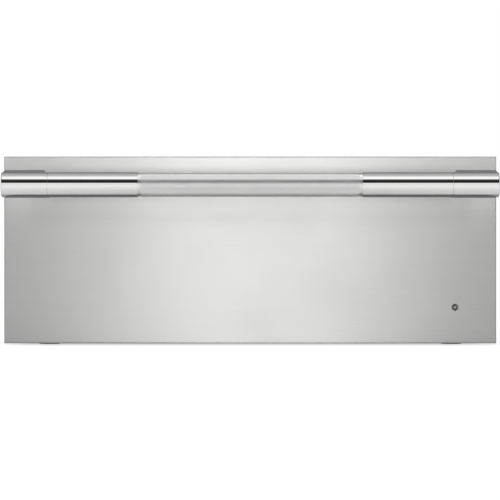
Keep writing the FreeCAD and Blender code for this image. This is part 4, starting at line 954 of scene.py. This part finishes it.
@dataclass
class Handle(Assembly):
    """Full-width bar handle: knurled grip, two polished sleeves and two end brackets."""

    axis_y: float = -320.0 * MM
    tube_radius: float = 19.0 * MM
    tube_sides: int = 160
    grip_radius: float = 18.0 * MM
    grip_half: float = 170.4 * MM
    collar_length: float = 4.4 * MM
    collar_radius: float = 17.2 * MM
    bore_radius: float = 15.55 * MM
    bore_sides: int = 96
    bore_depth: float = 34.0 * MM
    sleeve_end: float = 307.8 * MM
    sleeve_edge: Rounding = (0.45 * MM, 4)
    bracket_start: float = 308.0 * MM
    bracket_end: float = 378.0 * MM
    face_y: float = -275.0 * MM
    root_rise: float = 4.6 * MM
    root_run: float = 8.0 * MM
    root_steps: int = 6
    dome: Rounding = (2.0 * MM, 6)
    crisp: float = 30.0
    knurl_crisp: float = 20.0
    knurl_slack: float = 0.01
    knurl_round: int = 52
    knurl_along: int = 158
    knurl_depth: float = 0.14 * MM
    knurl_groove: float = 0.17 * MM

    @property
    def axis_z(self) -> float:
        """Height of the handle's axis, from the grip's own node."""
        low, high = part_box("handle_grip")
        return (low.z + high.z) / 2.0

    def axis_point(self, x: float) -> Point:
        """Gives a point on the handle's axis.

        Args:
            x: its place across.

        Returns:
            The point.
        """
        return (x, self.axis_y, self.axis_z)

    def build(self) -> None:
        """Builds the grip, then a sleeve and a bracket for each side."""
        self.build_grip()
        for side, name in zip(SIDES, ("left", "right")):
            self.build_sleeve(side, name)
            self.build_bracket(side, name)

    def build_grip(self) -> None:
        """Rolls a fine diamond knurl with flat lands on the grip, between two plain collars."""
        radius = self.grip_radius - self.knurl_depth
        rolled = self.grip_half - self.collar_length
        centre = self.axis_point(0.0)
        grip = Piece.start("cylinder", vertices=self.knurl_round, radius=radius,
                           depth=rolled * 2.0, end_fill_type="NOTHING", location=centre,
                           rotation=TURNED_TO_X)
        grip.pick(Pick.EDGES, lambda at, way: abs(way.x) > ALONG)
        grip.do("subdivide", number_cuts=self.knurl_along - 1)
        grip.pick().do("poke", offset=0.0)
        limit = rolled - HAIR
        grip.pick(Pick.EDGES, lambda at, way: abs(at.x) < limit
                  and (abs(way.x) > 1.0 - self.knurl_slack or abs(way.x) < self.knurl_slack))
        grip.do("dissolve_edges", use_verts=False)
        grip.pick()
        grip.do("inset", thickness=self.knurl_groove, depth=self.knurl_depth, use_individual=True)
        collar = self.collar_radius / radius
        bore = self.bore_radius / self.collar_radius
        for side in SIDES:
            step = (side * self.collar_length, 0.0, 0.0)
            grip.pick(Pick.EDGES, lambda at, way: at.x * side > limit)
            grip.do("extrude_edges_move")
            grip.do("transform.resize", value=(1.0, collar, collar), center_override=centre)
            grip.do("extrude_edges_move", TRANSFORM_OT_translate={"value": step})
        grip.pick(Pick.EDGES, lambda at, way: abs(at.x) > self.grip_half - HAIR)
        grip.do("extrude_edges_move")
        grip.do("transform.resize", value=(1.0, bore, bore), center_override=centre)
        grip.do("bridge_edge_loops")
        grip.tidy(self.knurl_crisp)
        grip.finish("knurled_grip", "drawer", "grip_knurl", self.paints, "handle_grip")

    def build_sleeve(self, side: float, name: str) -> None:
        """Builds one polished sleeve.

        Args:
            side: 1 on the right and -1 on the left.
            name: the side's word.
        """
        middle = (self.sleeve_end + self.grip_half) / 2.0
        sleeve = Piece.start("cylinder", vertices=self.tube_sides, radius=self.tube_radius,
                             depth=self.sleeve_end - self.grip_half, end_fill_type="NGON",
                             location=self.axis_point(side * middle), rotation=TURNED_TO_X)
        sleeve.pick(Pick.FACES, lambda at, way: abs(way.x) > ALONG)
        sleeve.do("inset", thickness=self.tube_radius - self.bore_radius, depth=0.0,
                  use_individual=True)
        sleeve.do("delete", type="FACE")

        def ring(radius: float) -> Test:
            """Makes the test for the edges round the axis at a radius."""
            return lambda at, way: abs(way.x) < SQUARE and near(
                math.hypot(at.y - self.axis_y, at.z - self.axis_z), radius, 20.0 * HAIR)

        sleeve.pick(Pick.EDGES, ring(self.bore_radius)).do("bridge_edge_loops")
        sleeve.bevel(ring(self.tube_radius), self.sleeve_edge)
        sleeve.tidy(self.crisp).flatten_shading()
        sleeve.finish("polished_sleeve_" + name, "drawer", "stainless_polished", self.paints,
                      "handle_sleeve_" + name)

    def build_bracket(self, side: float, name: str) -> None:
        """Builds one end bracket: round nose, flat root against the face, domed outer end.

        Args:
            side: 1 on the right and -1 on the left.
            name: the side's word.
        """
        start = self.bracket_start * side
        bracket = Piece.start("circle", vertices=self.tube_sides, radius=self.tube_radius,
                              fill_type="NOTHING", location=self.axis_point(start),
                              rotation=TURNED_TO_X)
        bracket.pick(Pick.VERTICES, lambda at, way: at.y > self.axis_y + HAIR)
        bracket.do("delete", type="VERT")
        for up in (1.0, -1.0):
            bracket.pick(Pick.VERTICES, lambda at, way: near(at.y, self.axis_y, 2.0 * HAIR)
                         and (at.z - self.axis_z) * up > 0.0)
            bracket.extrude(y=self.face_y - self.axis_y)
        bracket.pick(Pick.VERTICES).do("edge_face_add")
        turns = [QUARTER_TURN * step / self.root_steps for step in range(1, self.root_steps + 1)]
        cove = [(self.root_run * math.sin(turn), self.root_rise * (1.0 - math.cos(turn)))
                for turn in turns]
        run = rise = 0.0
        for next_run, next_rise in (*cove, (self.bracket_end - self.bracket_start, cove[-1][1])):
            bracket.pick(Pick.FACES, lambda at, way: near(at.x, start + side * run))
            bracket.extrude(x=side * (next_run - run))
            if next_rise > rise:
                bracket.pick(Pick.VERTICES, lambda at, way: at.z > self.axis_z
                             and near(at.x, start + side * next_run) and near(at.y, self.face_y))
                bracket.do("transform.translate", value=(0.0, 0.0, next_rise - rise))
            run, rise = next_run, next_rise
        bracket.bevel(lambda at, way: near(at.x, self.bracket_end * side)
                      and abs(way.x) < SQUARE and not near(at.y, self.face_y),
                      self.dome, clamp_overlap=True)
        bracket.tidy(self.crisp)
        bracket.cut(Piece.start("cylinder", vertices=self.bore_sides, radius=self.bore_radius,
                                depth=self.bore_depth * 2.0, location=self.axis_point(start),
                                rotation=TURNED_TO_X))
        bracket.tidy(self.crisp).flatten_shading()
        bracket.finish("end_bracket_" + name, "drawer", "stainless_polished", self.paints,
                       "handle_bracket_" + name)


@dataclass
class DrawerFront(Assembly):
    """Folded stainless front with its light and its top cut-outs."""

    skin: float = 1.2 * MM
    bend: Rounding = (1.7 * MM, 8)
    skin_crisp: float = 25.0
    cutout_half: Point = (95.0 * MM, 9.0 * MM, 4.0 * MM)
    slot_half: Point = (10.0 * MM, 2.0 * MM, 4.0 * MM)
    slot_first: float = 147.0 * MM
    slot_pitch: float = 28.0 * MM
    slot_count: int = 4
    console_y: float = -259.9 * MM
    light: Point = (314.6 * MM, -275.0 * MM, 58.5 * MM)
    light_radius: float = 4.05 * MM
    light_depth: float = 8.0 * MM
    light_sides: int = 64
    ring_radius: float = 5.4 * MM
    ring_stand: float = 0.8 * MM
    ring_sides: int = 96
    ring_edge: Rounding = (0.45 * MM, 5)
    ring_crisp: float = 30.0
    rim: float = 0.9 * MM
    dish_width: float = 0.85 * MM
    dish_depth: float = 0.35 * MM
    bore_depth: float = 6.0 * MM
    barrel_radius: float = 4.0 * MM
    barrel_depth: float = 9.0 * MM
    lens_radius: float = 2.3 * MM
    lens_dome: Rounding = (1.1 * MM, 8)
    lens_profile: float = 0.55
    lens_crisp: float = 40.0

    def build(self) -> None:
        """Builds the skin, the ring and the lens."""
        self.build_skin()
        self.build_ring()
        self.build_lens()

    def build_skin(self) -> None:
        """Folds the skin: a shallow box, rounded round its face and open at the back."""
        low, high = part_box("front_skin")
        skin = Piece.start("cube", size=1.0, location=(low + high) / 2.0, scale=high - low)
        skin.pick(Pick.FACES, lambda at, way: way.y > ALONG).do("delete", type="FACE")
        skin.bevel(lambda at, way: near(at.y, low.y), self.bend)
        skin.modify("SOLIDIFY", thickness=self.skin, offset=-1.0, use_even_offset=True)
        skin.tidy(self.skin_crisp)
        for cutter in self.cutters(high.z):
            skin.cut(cutter)
        skin.smooth(self.skin_crisp).flatten_shading()
        skin.finish("front_sheet", "drawer", "stainless_brushed", self.paints, "front_skin")

    def cutters(self, top: float) -> list[Piece]:
        """Makes the cutters for the light, the control strip and the outlet slots.

        Args:
            top: height of the front's top edge.

        Returns:
            The cutters, one for each opening.
        """
        made = [Piece.start("cylinder", vertices=self.light_sides, radius=self.light_radius,
                            depth=self.light_depth, location=self.light, rotation=TURNED_TO_Y)]
        middles = [(0.0, self.cutout_half)]
        for place in range(self.slot_count):
            across = self.slot_first + place * self.slot_pitch
            middles += [(-across, self.slot_half), (across, self.slot_half)]
        for across, half in middles:
            place = (across, self.console_y, top)
            made.append(Piece.start("cube", size=2.0, location=place, scale=half))
        return made

    def build_ring(self) -> None:
        """Turns the black ring: a rounded rim, a dished face and a bore for the lens."""
        across, face, up = self.light
        rim = self.ring_radius - 10.0 * HAIR
        ring = Piece.start("cylinder", vertices=self.ring_sides, radius=self.ring_radius,
                           depth=self.ring_stand, rotation=TURNED_TO_Y,
                           location=(across, face - self.ring_stand / 2.0, up))
        ring.pick(Pick.FACES, lambda at, way: way.y > ALONG)
        ring.do("inset", thickness=self.ring_radius - self.barrel_radius)
        ring.extrude(y=self.barrel_depth)
        ring.pick(Pick.FACES, lambda at, way: way.y < -ALONG)
        ring.do("inset", thickness=self.ring_radius - self.lens_radius - self.rim)
        ring.do("inset", thickness=self.dish_width, depth=-self.dish_depth)
        ring.extrude(y=self.bore_depth)
        ring.bevel(lambda at, way: near(at.y, face - self.ring_stand)
                   and math.hypot(at.x - across, at.z - up) > rim, self.ring_edge)
        ring.tidy(self.ring_crisp)
        ring.finish("light_ring", "drawer", "gloss_black", self.paints, "indicator_bezel")

    def build_lens(self) -> None:
        """Moulds the domed lens."""
        low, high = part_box("indicator_lens")
        lens = Piece.start("cylinder", vertices=self.light_sides, radius=self.lens_radius,
                           depth=high.y - low.y, rotation=TURNED_TO_Y,
                           location=(self.light[0], (low.y + high.y) / 2.0, self.light[2]))
        lens.bevel(lambda at, way: near(at.y, low.y), self.lens_dome, profile=self.lens_profile)
        lens.tidy(self.lens_crisp)
        lens.finish("light_lens", "drawer", "clear_lens", self.paints, "indicator_lens")


@dataclass
class Controls(Assembly):
    """Four push buttons in the top edge, with raised plain marks."""

    length: float = 24.0 * MM
    width: float = 10.0 * MM
    corner: Rounding = (1.6 * MM, 5)
    edge: Rounding = (0.5 * MM, 4)
    border: float = 0.7 * MM
    crown: float = 0.2 * MM
    skirt: float = 1.2 * MM
    skirt_lap: float = 0.8
    skirt_corner: Rounding = (0.4 * MM, 2)
    crisp: float = 35.0
    mark_height: float = 5.0 * MM
    word_size: float = 0.74
    mark_relief: float = 0.25 * MM
    mark_steps: int = 4
    marks: tuple[tuple[str, str], ...] = (
        ("power", "ON/OFF"), ("low", "1"), ("medium", "2"), ("high", "3"),
    )

    def build(self) -> None:
        """Builds each button with its mark."""
        for name, mark in self.marks:
            self.build_button(name, mark)

    def build_button(self, name: str, mark: str) -> None:
        """Builds one button: a stepped top, rounded corners and the skirt that keeps it in.

        Args:
            name: the button's word.
            mark: the letters or number on it.
        """
        low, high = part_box("button_" + name)
        middle = (low + high) / 2.0
        top = high.z - self.mark_relief
        skirt_top = low.z + self.skirt * self.skirt_lap
        button = Piece.start("cube", size=1.0, scale=(self.length, self.width, top - skirt_top),
                             location=(middle.x, middle.y, (skirt_top + top) / 2.0))
        button.bevel(lambda at, way: abs(way.z) > ALONG, self.corner)
        button.pick(Pick.FACES, lambda at, way: way.z > ALONG)
        button.do("inset", thickness=self.border, depth=0.0)
        button.do("inset", thickness=self.edge[0], depth=-self.crown)
        far_x = self.length / 2.0 - self.corner[0] * 1.05
        far_y = self.width / 2.0 - 10.0 * HAIR
        button.bevel(lambda at, way: near(at.z, top) and (
            abs(at.x - middle.x) > far_x or abs(at.y - middle.y) > far_y), self.edge)
        foot = Piece.start("cube", size=1.0, scale=(high.x - low.x, high.y - low.y, self.skirt),
                           location=(middle.x, middle.y, low.z + self.skirt / 2.0))
        foot.bevel(lambda at, way: abs(way.z) > ALONG, self.skirt_corner)
        button.cut(foot, "UNION")
        button.tidy(self.crisp)
        button.finish("push_button_" + name, "button_" + name, "gloss_black", self.paints,
                      "button_" + name)
        raised = self.build_mark(mark, middle, high.z)
        raised.finish("button_mark_" + name, "button_" + name, "white_marking", self.paints)

    def build_mark(self, mark: str, middle: Vector, top: float) -> Piece:
        """Raises a plain number or word on a button.

        Args:
            mark: the letters.
            middle: the button's middle.
            top: height of the mark's top.

        Returns:
            The mark as a mesh.
        """
        Piece.clear_bench()
        bpy.ops.object.text_add(location=(middle.x, middle.y, top - self.mark_relief * 2.0))
        text = bpy.context.object.data
        text.body = mark
        text.align_x = text.align_y = "CENTER"
        text.size = self.mark_height * (1.0 if len(mark) == 1 else self.word_size)
        text.extrude = self.mark_relief
        text.resolution_u = self.mark_steps
        bpy.ops.object.convert(target="MESH")
        raised = Piece(bpy.context.object).close()
        rise = top - max(vertex.co.z for vertex in raised.object.data.vertices)
        raised.pick(Pick.VERTICES).do("transform.translate", value=(0.0, 0.0, rise))
        return raised.close()


@dataclass
class Fasteners(Assembly):
    """Pan-head screws with a cross recess, in place of the plain heads."""

    sets: tuple[tuple[str, str], ...] = (("case_screws", "chassis"), ("pan_screws", "drawer"))
    shank: float = 2.0 * MM
    head_sides: int = 32
    head_steps: int = 5
    head_round: float = 0.55
    recess: Point = (1.1, 0.24, 1.1)
    crisp: float = 30.0
    apart: float = 15.0 * MM
    reach: float = 12.0 * MM
    rim: float = 0.9

    def build(self) -> None:
        """Builds each set of screws at its node's own places."""
        for node, body in self.sets:
            places = self.places(node)
            low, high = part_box(node)
            head = self.head_size(node, places[0])
            screw = self.build_screw(head, high.z - low.z)
            screw = screw.copy_to([(x, y, high.z) for x, y in places])
            screw.finish(node.replace("screws", "head_screws"), body, "zinc_steel", self.paints,
                         node)

    def places(self, node: str) -> list[Span]:
        """Finds the axes of a node's upright screws, from its own highest points.

        Args:
            node: the screws' node.

        Returns:
            The axes' X and Y, in order.
        """
        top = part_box(node)[1].z
        groups: list[list[Vector]] = []
        for vertex in frame["nodes"][node].data.vertices:
            if vertex.co.z < top - 10.0 * HAIR:
                continue
            for group in groups:
                if (group[0] - vertex.co).length < self.apart:
                    group.append(vertex.co)
                    break
            else:
                groups.append([vertex.co])
        return sorted(tuple((min(point[axis] for point in group)
                             + max(point[axis] for point in group)) / 2.0 for axis in (0, 1))
                      for group in groups)

    def head_size(self, node: str, place: Span) -> Span:
        """Measures a node's screw heads on one of its screws.

        Args:
            node: the screws' node.
            place: X and Y of the screw's axis.

        Returns:
            The head's radius and height.
        """
        points = [(math.hypot(vertex.co.x - place[0], vertex.co.y - place[1]), vertex.co.z)
                  for vertex in frame["nodes"][node].data.vertices]
        points = [point for point in points if point[0] < self.reach]
        radius = max(out for out, _ in points)
        wide = [up for out, up in points if out > radius * self.rim]
        return radius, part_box(node)[1].z - min(wide)

    def build_screw(self, head: Span, length: float) -> Piece:
        """Turns one screw, its head's top at the origin.

        Args:
            head: radius and height of the head.
            length: length over all.

        Returns:
            The screw.
        """
        radius, height = head
        screw = Piece.start("cylinder", vertices=self.head_sides, radius=radius, depth=height,
                            location=(0.0, 0.0, -height / 2.0))
        screw.bevel(lambda at, way: near(at.z, 0.0),
                    (height * self.head_round, self.head_steps))
        screw.pick(Pick.FACES, lambda at, way: way.z < -ALONG)
        screw.do("inset", thickness=radius - self.shank)
        screw.extrude(z=height - length)
        screw.tidy(self.crisp)
        recess = Vector(self.recess) * Vector((radius, radius, height))
        for turn in (0.0, QUARTER_TURN):
            screw.cut(Piece.start("cube", size=1.0, location=(0.0, 0.0, 0.0),
                                  rotation=(0.0, 0.0, turn), scale=recess))
        return screw.tidy(self.crisp)


ASSEMBLIES: tuple[type[Assembly], ...] = (Handle, DrawerFront, Controls, Fasteners)


def main() -> None:
    """Builds the sub-assemblies in order, then the studio."""
    logging.basicConfig(level=logging.INFO, format="%(message)s")
    bpy.ops.object.select_all(action="DESELECT")
    bpy.context.scene.view_settings.view_transform = "Standard"
    paints = Paintbox(FINISHES)
    paints.paint_nodes()
    for assembly in ASSEMBLIES:
        assembly(paints).build()
    Studio().build()


if __name__ == "__main__":
    main()
